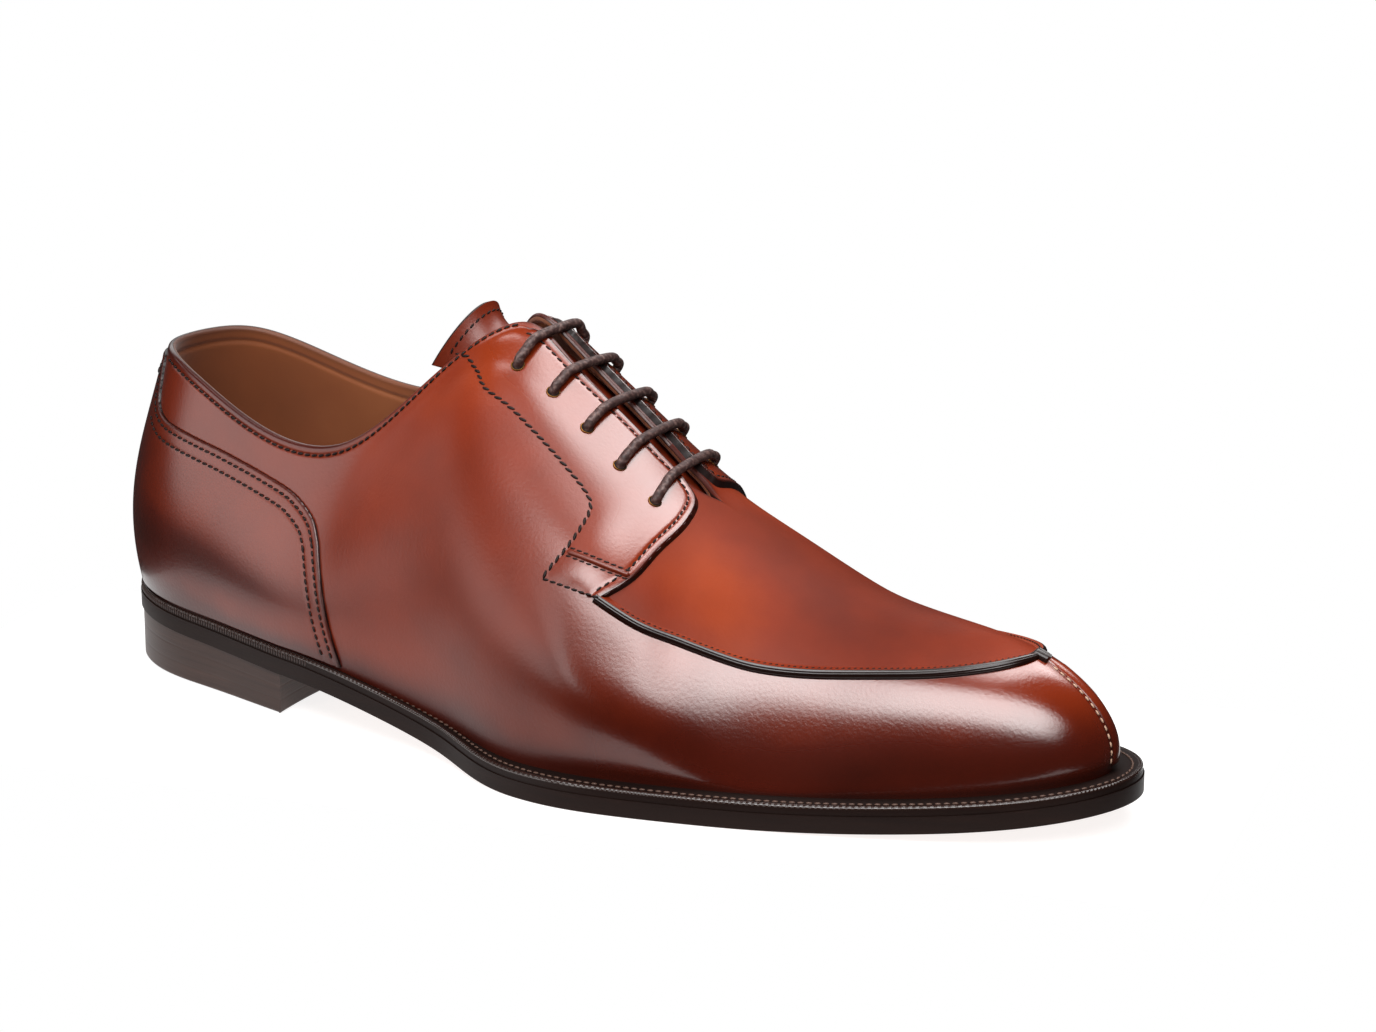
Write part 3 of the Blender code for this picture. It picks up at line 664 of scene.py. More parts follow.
@dataclass(frozen=True)
class Finish:
    """A leather, thread or metal finish with a soft change of colour and a fine surface."""

    name: str
    stops: tuple[tuple[float, str], ...]  # colour ramp, from its dark end to its warm end
    roughness: tuple[float, float] = (0.45, 0.30)  # where the polish is least and most
    coat: float = 0.0  # wax where the polish is most
    waxed: tuple[float, float] = (0.28, 0.92)  # polish where the wax begins and where it is full
    coat_roughness: float = 0.15
    specular: float = 0.5
    sheen: float = 0.0
    metallic: float = 0.0
    mottle_mm: float = 26.0  # size of the colour clouds
    mottle: float = 0.16
    stretch: tuple[float, float, float] = (1.0, 1.0, 1.0)  # clouds and grain drawn out along an axis
    grain_mm: float = 0.8  # drawn coarser than real pores and fibres, which are too fine to show
    grain_depth: float = 0.010  # millimetres
    braid_turns: tuple[float, float] | None = None  # strands along and round a braided cord
    ticks: float = 0.0  # wheel marks along the edge, for the whole length of the map

    def make(self) -> bpy.types.Material:
        """Build the material.

        Returns:
            The material, ready to use.
        """
        material = bpy.data.materials.new(self.name)
        material.use_nodes = True
        tree = material.node_tree
        shader = tree.nodes["Principled BSDF"]
        shader.inputs["Metallic"].default_value = self.metallic
        shader.inputs["Specular IOR Level"].default_value = self.specular
        shader.inputs["Coat Roughness"].default_value = self.coat_roughness
        shader.inputs["Sheen Weight"].default_value = self.sheen
        place = add_node(tree, "ShaderNodeTexCoord", {})
        drawn = add_node(
            tree, "ShaderNodeMapping", {"Vector": place.outputs["Object"], "Scale": self.stretch}
        )
        clouds = add_node(
            tree, "ShaderNodeTexNoise",
            {"Vector": drawn.outputs["Vector"], "Scale": 1000.0 / self.mottle_mm, "Detail": 4.0},
        )
        worked = add_node(tree, "ShaderNodeAttribute", {}, attribute_name="tone")
        swing = add_node(
            tree, "ShaderNodeMath", {0: clouds.outputs["Fac"], 1: 0.5}, operation="SUBTRACT"
        )
        mixed = add_node(
            tree, "ShaderNodeMath",
            {0: swing.outputs[0], 1: 2.0 * self.mottle, 2: worked.outputs["Fac"]},
            operation="MULTIPLY_ADD",
        )
        ramp = add_node(tree, "ShaderNodeValToRGB", {"Fac": mixed.outputs[0]})
        elements = ramp.color_ramp.elements
        while len(elements) < len(self.stops):
            elements.new(0.5)
        for element, (position, code) in zip(elements, self.stops):
            element.position = position
            element.color = hex_colour(code)
        tree.links.new(ramp.outputs["Color"], shader.inputs["Base Color"])
        polish = add_node(tree, "ShaderNodeAttribute", {}, attribute_name="gloss")
        rough = add_node(
            tree, "ShaderNodeMapRange",
            {"Value": polish.outputs["Fac"], "To Min": self.roughness[0], "To Max": self.roughness[1]},
        )
        tree.links.new(rough.outputs["Result"], shader.inputs["Roughness"])
        if self.coat:
            # Wax lies on the polished toe, heel and facings, and hardly any on the brushed quarters.
            wax = add_node(
                tree, "ShaderNodeMapRange",
                {"Value": polish.outputs["Fac"], "From Min": self.waxed[0], "From Max": self.waxed[1],
                 "To Max": self.coat},
            )
            tree.links.new(wax.outputs["Result"], shader.inputs["Coat Weight"])
        self.add_surface(tree, place, drawn)
        return material

    def add_surface(
        self, tree: bpy.types.NodeTree, place: bpy.types.Node, drawn: bpy.types.Node
    ) -> None:
        """Add the fine relief: grain, and a braid or wheel marks where the finish has them.

        Args:
            tree: node tree of the material.
            place: node of the texture coordinates.
            drawn: node that draws them out along an axis.
        """
        shader = tree.nodes["Principled BSDF"]
        pores = add_node(
            tree, "ShaderNodeTexNoise",
            {"Vector": drawn.outputs["Vector"], "Scale": 1000.0 / self.grain_mm, "Detail": 3.0},
        )
        bump = add_node(
            tree, "ShaderNodeBump",
            {"Height": pores.outputs["Fac"], "Distance": self.grain_depth * MM, "Strength": 1.0},
        )
        for turn in (1.0, -1.0) if self.braid_turns else ():
            along, around = self.braid_turns
            split = add_node(tree, "ShaderNodeSeparateXYZ", {0: place.outputs["UV"]})
            far = add_node(
                tree, "ShaderNodeMath", {0: split.outputs["X"], 1: along}, operation="MULTIPLY"
            )
            strand = add_node(
                tree, "ShaderNodeMath",
                {0: split.outputs["Y"], 1: turn * around, 2: far.outputs[0]}, operation="MULTIPLY_ADD",
            )
            wave = add_node(tree, "ShaderNodeMath", {0: strand.outputs[0], 1: 1.0}, operation="PINGPONG")
            bump = add_node(
                tree, "ShaderNodeBump",
                {"Height": wave.outputs[0], "Distance": 0.16 * MM, "Strength": 0.8,
                 "Normal": bump.outputs["Normal"]},
            )
        if self.ticks:
            split = add_node(tree, "ShaderNodeSeparateXYZ", {0: place.outputs["UV"]})
            far = add_node(
                tree, "ShaderNodeMath", {0: split.outputs["X"], 1: self.ticks}, operation="MULTIPLY"
            )
            wave = add_node(tree, "ShaderNodeMath", {0: far.outputs[0], 1: 0.5}, operation="PINGPONG")
            marks = add_node(tree, "ShaderNodeAttribute", {}, attribute_name="wheel")
            shown = add_node(
                tree, "ShaderNodeMath", {0: wave.outputs[0], 1: marks.outputs["Fac"]},
                operation="MULTIPLY",
            )
            bump = add_node(
                tree, "ShaderNodeBump",
                {"Height": shown.outputs[0], "Distance": 0.5 * MM, "Strength": 1.0,
                 "Normal": bump.outputs["Normal"]},
            )
        tree.links.new(bump.outputs["Normal"], shader.inputs["Normal"])


class Finishes:
    """All finishes of the shoe."""

    def __init__(self) -> None:
        """Build each material once."""
        # Box calf, aniline dyed, burnished by hand and waxed: deep red-brown with a warm glow where
        # the wax is thin, broad soft highlights and a very fine pore.
        calf_stops = ((0.0, "#230904"), (0.30, "#471307"), (0.60, "#77280c"), (1.0, "#a5430f"))
        self.calf = Finish(
            "burnished_box_calf", calf_stops, (0.45, 0.16), coat=0.65, coat_roughness=0.12,
            grain_mm=0.9, grain_depth=0.05,
        ).make()
        # The apron of the same calf, creamed but not waxed: a matt glow without a hard highlight.
        self.apron = Finish(
            "creamed_apron_calf", calf_stops, (0.55, 0.45), specular=0.16, mottle_mm=34.0, mottle=0.24,
            grain_mm=0.9, grain_depth=0.05,
        ).make()
        # Cut and inked edge of the same calf: nearly black, half gloss.
        self.edge = Finish(
            "inked_calf_edge", ((0.0, "#120605"), (1.0, "#32140d")), (0.42, 0.30), specular=0.3,
            grain_depth=0.02,
        ).make()
        # Rolled and waxed lip of the apron seam: blackish brown with a hard shine.
        self.seam = Finish(
            "waxed_seam_lip", ((0.0, "#0e0504"), (1.0, "#2a110a")), (0.36, 0.22), specular=0.4, coat=0.3,
            grain_depth=0.02,
        ).make()
        # Vegetable tanned lining calf, undyed side in: matt mid brown with a soft nap.
        self.lining = Finish(
            "tan_lining_calf", ((0.0, "#4a2412"), (0.5, "#8a4f2c"), (1.0, "#b9774a")), (0.62, 0.50),
            grain_mm=1.2, grain_depth=0.03, sheen=0.15,
        ).make()
        # Bend leather of the sole edge, stained, waxed and ironed: near black with faint level lines.
        self.sole_edge = Finish(
            "ironed_sole_edge", ((0.0, "#0d0605"), (0.5, "#1c0f0b"), (1.0, "#38221b")), (0.50, 0.42),
            specular=0.15, stretch=(0.25, 0.25, 3.0), mottle_mm=6.0, mottle=0.25, grain_mm=1.0,
            grain_depth=0.02,
        ).make()
        # Top of the welt, stained: matt and nearly black.
        self.welt = Finish(
            "stained_welt", ((0.0, "#0c0504"), (0.5, "#1a0c08"), (1.0, "#341a11")), (0.62, 0.52),
            specular=0.15, mottle_mm=8.0, grain_mm=1.0, grain_depth=0.03,
        ).make()
        # Rim of the welt, waxed, in a lighter brown than the welt's top: a thin bright line, broken by wheel
        # marks, partly the wax's shine and partly a painted highlight.
        self.rim = Finish(
            "waxed_welt_rim_with_painted_highlight", ((0.0, "#150a07"), (0.5, "#2a1711"), (1.0, "#4a2e23")), (0.34, 0.22), coat=0.6,
            coat_roughness=0.12, mottle_mm=8.0, grain_mm=1.0, grain_depth=0.03, ticks=560.0,
        ).make()
        # Stacked heel lifts, inked and burnished: dark brown with thin level streaks.
        self.heel = Finish(
            "burnished_heel_stack", ((0.0, "#1a0e0b"), (0.5, "#35231d"), (1.0, "#563e36")), (0.46, 0.36),
            specular=0.32, stretch=(0.12, 0.12, 2.6), mottle_mm=3.0, mottle=0.3, grain_mm=0.8,
            grain_depth=0.03,
        ).make()
        # Tread of the sole, oak bark tanned: tan with a fine buffed nap.
        self.tread = Finish(
            "buffed_sole_leather", ((0.0, "#6b3a20"), (0.5, "#9a6238"), (1.0, "#b98654")), (0.60, 0.48),
            mottle_mm=14.0, grain_mm=1.0, grain_depth=0.03,
        ).make()
        # Waxed linen thread: blackish dashes that lie quietly on the calf.
        self.thread = Finish(
            "waxed_linen_thread", ((0.0, "#0f0605"), (1.0, "#24110c")), (0.55, 0.45), specular=0.25,
            grain_mm=0.5, grain_depth=0.03,
        ).make()
        # Thread of the welt, its wax worn off: dull brown dashes on the black.
        self.welt_thread = Finish(
            "worn_welt_thread", ((0.0, "#2a1a14"), (1.0, "#6b4e40")), (0.6, 0.5), grain_mm=0.5,
            grain_depth=0.03,
        ).make()
        # Undyed linen of the toe seam: light dashes down the dark groove.
        self.pale_thread = Finish(
            "natural_linen_thread", ((0.0, "#7d5a45"), (1.0, "#d5b49c")), (0.6, 0.5), grain_mm=0.5,
            grain_depth=0.03,
        ).make()
        # Round braided cotton lace, waxed: dark grey brown and matt, with paler flecks painted on as glints
        # off the braid's strands.
        self.lace = Finish(
            "waxed_braided_cotton", ((0.0, "#1c1110"), (0.5, "#432d2a"), (1.0, "#8a7069")), (0.56, 0.46),
            # Strong fine mottle up to a light top colour: painted glints and sheen of the braid.
            mottle_mm=1.1, mottle=0.7, grain_mm=0.5, grain_depth=0.03,
            braid_turns=(26.0, 4.0),
        ).make()
        # Thin brass ring pressed behind the punched hole, dulled.
        self.brass = Finish(
            "dulled_brass", ((0.0, "#5a3a1c"), (1.0, "#a9793f")), (0.45, 0.35), metallic=1.0,
            grain_depth=0.02,
        ).make()
        # Inside of a punched hole: a black and matt plug, painted shade that makes the hole look open.
        self.dark = Finish(
            "painted_shade_hole", ((0.0, "#050202"), (1.0, "#0c0605")), (0.8, 0.7), grain_depth=0.0
        ).make()


@dataclass
class Mesh:
    """Grid of cells laid over a shape and turned into a piece of the shoe."""

    name: str
    columns: int
    rows: int
    bm: bmesh.types.BMesh = field(default_factory=bmesh.new)

    def start(self) -> bmesh.types.BMLayerItem:
        """Lay the flat grid and keep each vertex's place on it.

        Returns:
            The layer that holds u and v from 0 to 1.
        """
        self.bm.loops.layers.uv.new("UVMap")
        grid = self.bm.verts.layers.float_vector.new("grid")
        bmesh.ops.create_grid(
            self.bm, x_segments=self.columns, y_segments=self.rows, size=0.5, calc_uvs=True
        )
        for vert in self.bm.verts:
            vert[grid] = (vert.co.x + 0.5, vert.co.y + 0.5, 0.0)
        return grid

    def place(self, verts: Sequence[bmesh.types.BMVert], grid: object, shape: Surface) -> None:
        """Put each vertex where shape(u, v) says.

        Args:
            verts: vertices to move.
            grid: layer with their u and v.
            shape: the face's shape.
        """
        uv = np.array([vert[grid][:2] for vert in verts])
        for vert, point in zip(verts, metres(shape(uv[:, 0], uv[:, 1]))):
            vert.co = point

    def mark(self, name: str, values: Surface | float) -> None:
        """Keep a number on each vertex, worked out from its place on the grid.

        Args:
            name: the attribute's name.
            values: the number at u and v, or one number for all.
        """
        grid = self.bm.verts.layers.float_vector["grid"]
        layer = self.bm.verts.layers.float.new(name)
        verts = list(self.bm.verts)
        uv = np.array([vert[grid][:2] for vert in verts])
        found = values(uv[:, 0], uv[:, 1]) if callable(values) else values
        for vert, value in zip(verts, np.broadcast_to(found, len(verts))):
            vert[layer] = float(value)

    def shade(self, tone: Surface | float, gloss: Surface | float) -> None:
        """Keep the worked-in tone, with the painted shade some pieces carry in it, and the gloss of every
        vertex.
        """
        self.mark("tone", tone)
        self.mark("gloss", gloss)

    def wall(self, outer: Surface, inner: Surface) -> None:
        """Make a closed sheet: the outer face, the inner face (slot 1) and the edge (slot 2).

        Args:
            outer: shape of the outer face.
            inner: shape of the inner face.
        """
        grid = self.start()
        self.place(list(self.bm.verts), grid, outer)
        bmesh.ops.remove_doubles(self.bm, verts=self.bm.verts, dist=1e-6)
        first = list(self.bm.faces)
        made = bmesh.ops.extrude_face_region(self.bm, geom=first, use_keep_orig=True)["geom"]
        self.place([item for item in made if isinstance(item, bmesh.types.BMVert)], grid, inner)
        second = [item for item in made if isinstance(item, bmesh.types.BMFace)]
        known = set(first) | set(second)
        for face in second:
            face.material_index = 1
        for face in self.bm.faces:
            if face not in known:
                face.material_index = 2
        self.face_out()

    def skin(self, shape: Surface) -> None:
        """Make a closed skin from one shape whose ends and seam fall together.

        Args:
            shape: the skin's shape.
        """
        grid = self.start()
        self.place(list(self.bm.verts), grid, shape)
        bmesh.ops.remove_doubles(self.bm, verts=self.bm.verts, dist=1e-6)
        open_edges = [edge for edge in self.bm.edges if edge.is_boundary]
        caps = bmesh.ops.holes_fill(self.bm, edges=open_edges, sides=0)["faces"] if open_edges else []
        for face in caps:
            face.material_index = 1
        bmesh.ops.triangulate(self.bm, faces=caps)
        self.face_out()

    def paint(self, slot: int, test: Callable[[float, float], bool]) -> None:
        """Give the outer faces for which test(u, v) holds another slot.

        Args:
            slot: the slot they get.
            test: whether a face at u and v gets it.
        """
        grid = self.bm.verts.layers.float_vector["grid"]
        for face in self.bm.faces:
            if face.material_index == 0:
                u, v = np.mean([vert[grid][:2] for vert in face.verts], axis=0)
                if test(u, v):
                    face.material_index = slot

    def face_out(self) -> None:
        """Turn every face outwards."""
        bmesh.ops.recalc_face_normals(self.bm, faces=self.bm.faces)
        if self.bm.calc_volume(signed=True) < 0.0:
            bmesh.ops.reverse_faces(self.bm, faces=self.bm.faces)

    def finish(self, materials: Sequence[bpy.types.Material], sharp: float = 45.0) -> bpy.types.Object:
        """Turn the mesh into an object that rides on the shoe.

        Args:
            materials: finish of each slot.
            sharp: angle in degrees past which an edge stays sharp.

        Returns:
            The object.
        """
        mesh = bpy.data.meshes.new(self.name)
        self.bm.to_mesh(mesh)
        self.bm.free()
        mesh.shade_smooth()
        mesh.set_sharp_from_angle(angle=math.radians(sharp))
        for material in materials:
            mesh.materials.append(material)
        thing = bpy.data.objects.new(self.name, mesh)
        bpy.context.scene.collection.objects.link(thing)
        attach(thing, BODY)
        LOG.info("%s: %d faces", self.name, len(mesh.polygons))
        return thing


def tube(points: Array, radius: Array) -> Surface:
    """Skin of a round cord along a line.

    Args:
        points: points of the line.
        radius: radius at each point.

    Returns:
        A shape of u along the cord and v round it.
    """
    count = len(points)
    ahead = unit(np.gradient(points, axis=0))
    side = np.zeros_like(points)
    start = np.cross(ahead[0], (0.0, 0.0, 1.0))
    if np.linalg.norm(start) < 0.1:
        start = np.cross(ahead[0], (0.0, 1.0, 0.0))
    side[0] = unit(start)
    for i in range(1, count):
        side[i] = unit(side[i - 1] - ahead[i] * np.dot(side[i - 1], ahead[i]))
    other = np.cross(ahead, side)

    def shape(u: Array, v: Array) -> Array:
        """Point of the cord's skin.

        Args:
            u: places along the cord.
            v: places round it.

        Returns:
            One point for each pair.
        """
        place = u * (count - 1)
        i = np.clip(np.round(place).astype(int), 0, count - 1)
        angle = 2.0 * np.pi * v
        ring = side[i] * np.cos(angle)[:, None] + other[i] * np.sin(angle)[:, None]
        return points[i] + ring * radius[i][:, None]

    return shape


@dataclass(frozen=True)
class Thread:
    """Gauge of a row of stitches."""

    pitch: float  # from stitch to stitch, millimetres
    length: float
    radius: float
    slant: float = 9.0  # turn of each stitch out of its row, in degrees

    def sew(self, name: str, rows: Sequence[tuple[Array, Array]], material: bpy.types.Material) -> None:
        """Lay stitches along lines.

        Args:
            name: name of the piece.
            rows: points and surface normals of each line.
            material: the thread's finish.
        """
        bm = bmesh.new()
        for points, normals in rows:
            steps = np.linalg.norm(np.diff(points, axis=0), axis=1)
            far = np.concatenate([[0.0], np.cumsum(steps)])
            count = max(1, int(far[-1] / self.pitch))
            places = (np.arange(count) + 0.5) * far[-1] / count
            ahead = unit(np.gradient(points, axis=0))
            for centre, along, up in zip(
                *(np.stack([np.interp(places, far, part[:, k]) for k in range(3)], 1)
                  for part in (points, ahead, normals))
            ):
                up = up / np.linalg.norm(up)
                along = along - up * np.dot(along, up)
                along = along / np.linalg.norm(along)
                aside = np.cross(up, along)
                turn = math.radians(self.slant)
                lie = along * math.cos(turn) + aside * math.sin(turn)
                wide = np.cross(up, lie)
                axes = (lie * 0.5 * self.length, wide * self.radius, up * self.radius * 0.85)
                frame = frame_of([axis * MM for axis in axes], metres(centre))
                bmesh.ops.create_uvsphere(
                    bm, u_segments=8, v_segments=5, radius=1.0,
                    matrix=frame @ Matrix.Rotation(math.radians(90.0), 4, "Y"),
                )
        for layer, value in (("tone", 0.5), ("gloss", 0.4)):
            bm.verts.layers.float.new(layer)
            for vert in bm.verts:
                vert[bm.verts.layers.float[layer]] = value
        piece = Mesh(name, 1, 1, bm)
        piece.finish([material], sharp=180.0)


@dataclass
class Upper:
    """Hollow upper with its lining, open at the collar and along the throat."""

    form: FootForm
    look: Finishes
    rim_round: float = 1.0  # radius of the top edge on each face
    row_depth: float = 2.6  # collar stitches below the edge
    row_span: tuple[float, float] = (0.088, 0.449)  # s of their ends
    foot_drop: float = 0.7  # how far the lower edge is set into the welt
    foot_turn: float = 0.06  # t below which the lining is squared to the welt
    thread: Thread = Thread(2.2, 1.8, 0.37)
    columns: int = 380
    rows: int = 74

    def place(self, u: Array, v: Array) -> tuple[Array, Array]:
        """The q and t of a place on the grid: rows lie closer near the top edge."""
        return around_q(2.0 * u) % 2.0, np.interp(v, (0.0, 0.62, 0.86, 1.0), (0.0, 0.90, 0.985, 1.0))

    def open_share(self, q: Array) -> Array:
        """1 along the collar and the throat, 0 where the vamp is closed."""
        return smoothstep((0.672 - side_place(q)) / 0.02)

    def outer(self, u: Array, v: Array) -> Array:
        """Outer face, rolled in at the edge and drawn in by the collar stitches.

        Args:
            u: places round the shoe.
            v: places up from the sole.

        Returns:
            One point for each pair.
        """
        q, t = self.place(u, v)
        depth = self.form.rim_depth(q, t)
        share = self.open_share(q)
        drawn = 0.22 * groove(depth, self.row_depth, 0.55) * smoothstep((0.47 - side_place(q)) / 0.02)
        points = self.form.lifted(q, t, -share * rounded_drop(depth, self.rim_round) - drawn)
        points[:, 2] -= self.foot_drop * smoothstep((0.02 - t) / 0.02)
        return points

    def inner(self, u: Array, v: Array) -> Array:
        """Lining face, rolled out at the edge.

        Args:
            u: places round the shoe.
            v: places up from the sole.

        Returns:
            One point for each pair.
        """
        q, t = self.place(u, v)
        depth = self.form.rim_depth(q, t)
        share = self.open_share(q)
        bead = 0.45 * groove(depth, 4.2, 0.8) * share
        lift = -self.form.wall + share * rounded_drop(depth, self.rim_round) + 0.8 * bead
        points = self.form.lifted(q, t, lift)
        foot = self.form.point(q, np.zeros(q.shape))
        foot[:, :2] -= self.form.edge_normal(q) * self.form.wall
        foot[:, 2] -= self.foot_drop
        low = smoothstep((self.foot_turn - t) / self.foot_turn)[:, None]
        return points * (1.0 - low) + (foot + (points - foot) * (t / self.foot_turn)[:, None]) * low

    def tone(self, u: Array, v: Array) -> Array:
        """Worked-in colour, darker along the collar and throat edges, with painted shade just above the
        welt.
        """
        q, t = self.place(u, v)
        return self.form.tone(q, t) - 0.35 * groove(self.form.rim_depth(q, t), 0.0, 1.3) * self.open_share(q)

    def on_apron(self, u: float, v: float) -> bool:
        """Whether a face lies inside the apron seam.

        Args:
            u: place round the shoe.
            v: place up from the sole.

        Returns:
            True on the apron.
        """
        q, t = self.place(u, v)
        rows = np.array(APRON)
        s = side_place(q)
        return bool(s > 0.60 and t > np.interp(s, rows[:, 0], rows[:, 1 if q < 1.0 else 2]))

    def collar_row(self, side: Side) -> tuple[Array, Array]:
        """Line of the collar stitches on one side.

        Args:
            side: side of the shoe.

        Returns:
            The line's points and the normals there.
        """
        q = side.q(np.linspace(*self.row_span, 240))
        t = 1.0 - self.row_depth / self.form.rim_reach(q)
        return self.form.lifted(q, t, 0.02), self.form.normal(q, t)

    def build(self) -> None:
        """Make the upper and its collar stitches."""
        mesh = Mesh("upper_leather", self.columns, self.rows)
        mesh.wall(self.outer, self.inner)
        mesh.shade(self.tone, lambda u, v: self.form.gloss(*self.place(u, v)))
        mesh.paint(3, self.on_apron)
        piece = mesh.finish([self.look.calf, self.look.lining, self.look.edge, self.look.apron], sharp=60.0)
        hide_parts("upper")
        rows = [self.collar_row(side) for side in Side]
        self.thread.sew("collar_stitches", rows, self.look.thread)


@dataclass
class Facing:
    """Lace facing of one quarter: its front edge stands free, the other edges are sewn down."""

    form: FootForm
    look: Finishes
    side: Side
    node: str
    thickness: float = 1.8  # at the free edge
    sunk: float = 0.07  # how far the sewn edges lie in the upper
    fade: float = 9.0  # how far the sewn edges take to rise
    edge_round: float = 0.45
    flare: float = 0.055  # how far the cut edge leans out to its foot
    row_in: float = 2.2  # stitches inside the free edge
    bar_start: tuple[float, float] = (0.5825, 0.602)  # s and t of the raised bar's ends
    bar_end: tuple[float, float] = (0.6285, 0.648)
    bar_radius: float = 0.75
    bar_row: float = 1.15  # stitches beside the bar
    front_thread: Thread = Thread(2.2, 1.75, 0.32)
    rear_thread: Thread = Thread(2.4, 2.35, 0.42, 20.0)
    foot_thread: Thread = Thread(2.0, 1.7, 0.34)
    bar_thread: Thread = Thread(1.9, 1.5, 0.26)
    columns: int = 150
    rows: int = 64

    def place(self, u: Array, v: Array, flare: float = 0.0) -> tuple[Array, Array]:
        """The q and t at u from the collar down and v from the rear to the front edge.

        Args:
            u: place along the facing.
            v: place across it.
            flare: how far the front edge is moved on, as a share of the width.

        Returns:
            The q and t.
        """
        rows = through_rows(FACING, u)
        v = np.interp(v, (0.0, 0.6, 0.86, 1.0), (0.0, 0.75, 0.955, 1.0))
        v = v + flare * v**6
        s = rows[:, 0] + (rows[:, 2] - rows[:, 0]) * v
        t = rows[:, 1] + (rows[:, 3] - rows[:, 1]) * v
        return self.side.q(s), t

    def free_edge(self, count: int = 400) -> tuple[Array, Array]:
        """Front edge, from the collar down to the apron seam."""
        return self.place(np.linspace(0.0, 1.0, count), np.ones(count))

    def lift(self, q: Array, t: Array) -> Array:
        """Height of the facing over the upper: it rises from the sewn edges to the cut front edge.

        Args:
            q: places round the sole's edge.
            t: heights up the form, from 0 to 1.

        Returns:
            One height for each pair, in millimetres.
        """
        points = self.form.point(q, t)
        even = np.linspace(0.0, 1.0, 300)
        rear, foot, top, edge = (
            nearest(points, self.form.point(*self.place(*line)))
            for line in (
                (even, 0.0 * even), (np.ones(300), even), (np.zeros(60), np.linspace(0.0, 1.0, 60)),
                (np.linspace(0.0, 1.0, 420), np.ones(420)),
            )
        )
        at_front = groove(edge, 0.0, 5.0)
        rise = (1.0 - np.exp(-rear / self.fade)) * (1.0 - np.exp(-top / 2.0))
        rise = rise * (1.0 - np.exp(-foot / 3.0) * (1.0 - at_front))
        full = -self.sunk + self.thickness * rise
        drawn = 0.20 * groove(edge, self.row_in, 0.55) * rise
        return full - np.minimum(rounded_drop(edge, self.edge_round), np.maximum(full + 0.1, 0.0)) - drawn

    def tone(self, u: Array, v: Array) -> Array:
        """Worked-in colour, dark at the cut edge.

        Args:
            u: places along the piece, from 0 to 1.
            v: places across it, from 0 to 1.

        Returns:
            One tone for each pair.
        """
        q, t = self.place(u, v)
        from_edge = nearest(self.form.point(q, t), self.form.point(*self.free_edge()))
        return self.form.tone(q, t) - 0.5 * groove(from_edge, 0.0, 0.7)

    def line(self, q: Array, t: Array, over: float = 0.05) -> tuple[Array, Array]:
        """Points and normals of a line of stitches on the facing."""
        return self.form.lifted(q, t, np.maximum(self.lift(q, t), 0.0) + over), self.form.normal(q, t)

    def build(self) -> None:
        """Make the facing, its stitches and the raised bar above its foot."""
        mesh = Mesh(f"{self.node}_leather", self.columns, self.rows)
        mesh.wall(
            lambda u, v: self.form.lifted(*self.place(u, v), self.lift(*self.place(u, v))),
            lambda u, v: self.form.lifted(*self.place(u, v, self.flare), -BEDDED),
        )
        mesh.shade(self.tone, lambda u, v: 0.30 + 0.45 * smoothstep(3.0 * v))
        piece = mesh.finish([self.look.calf, self.look.calf, self.look.edge], sharp=50.0)
        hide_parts(self.node)
        inward = self.row_in if self.side is Side.INNER else -self.row_in
        edge = self.free_edge()
        front = self.form.beside(*edge, inward)
        rear = self.place(np.linspace(0.0, 1.0, 300), np.zeros(300))
        foot = self.place(np.ones(60), np.linspace(0.0, 0.97, 60))
        self.front_thread.sew(f"{self.node}_front_stitches", [self.line(*front)], self.look.thread)
        self.rear_thread.sew(f"{self.node}_rear_stitches", [self.line(*rear)], self.look.thread)
        self.foot_thread.sew(f"{self.node}_foot_stitches", [self.line(*foot)], self.look.thread)
        self.build_bar()

    def build_bar(self) -> None:
        """Make the raised bar across the foot of the facing, with a stitch row on each side."""
        even = np.linspace(0.0, 1.0, 60)
        s, t = (a + (b - a) * even for a, b in zip(self.bar_start, self.bar_end))
        q = self.side.q(s)
        points = self.form.lifted(q, t, self.lift(q, t) + 0.05)
        ends = smoothstep(even / 0.04) * smoothstep((1 - even) / 0.04)
        radius = self.bar_radius * np.sqrt(np.clip(ends, 1e-4, 1))
        mesh = Mesh(f"{self.node}_bar", 59, 12)
        mesh.skin(tube(points, radius))
        mesh.shade(0.45, 0.4)
        mesh.finish([self.look.calf, self.look.calf])
        rows = [self.line(*self.form.beside(q, t, offset)) for offset in (-self.bar_row, self.bar_row)]
        self.bar_thread.sew(f"{self.node}_bar_stitches", rows, self.look.thread)


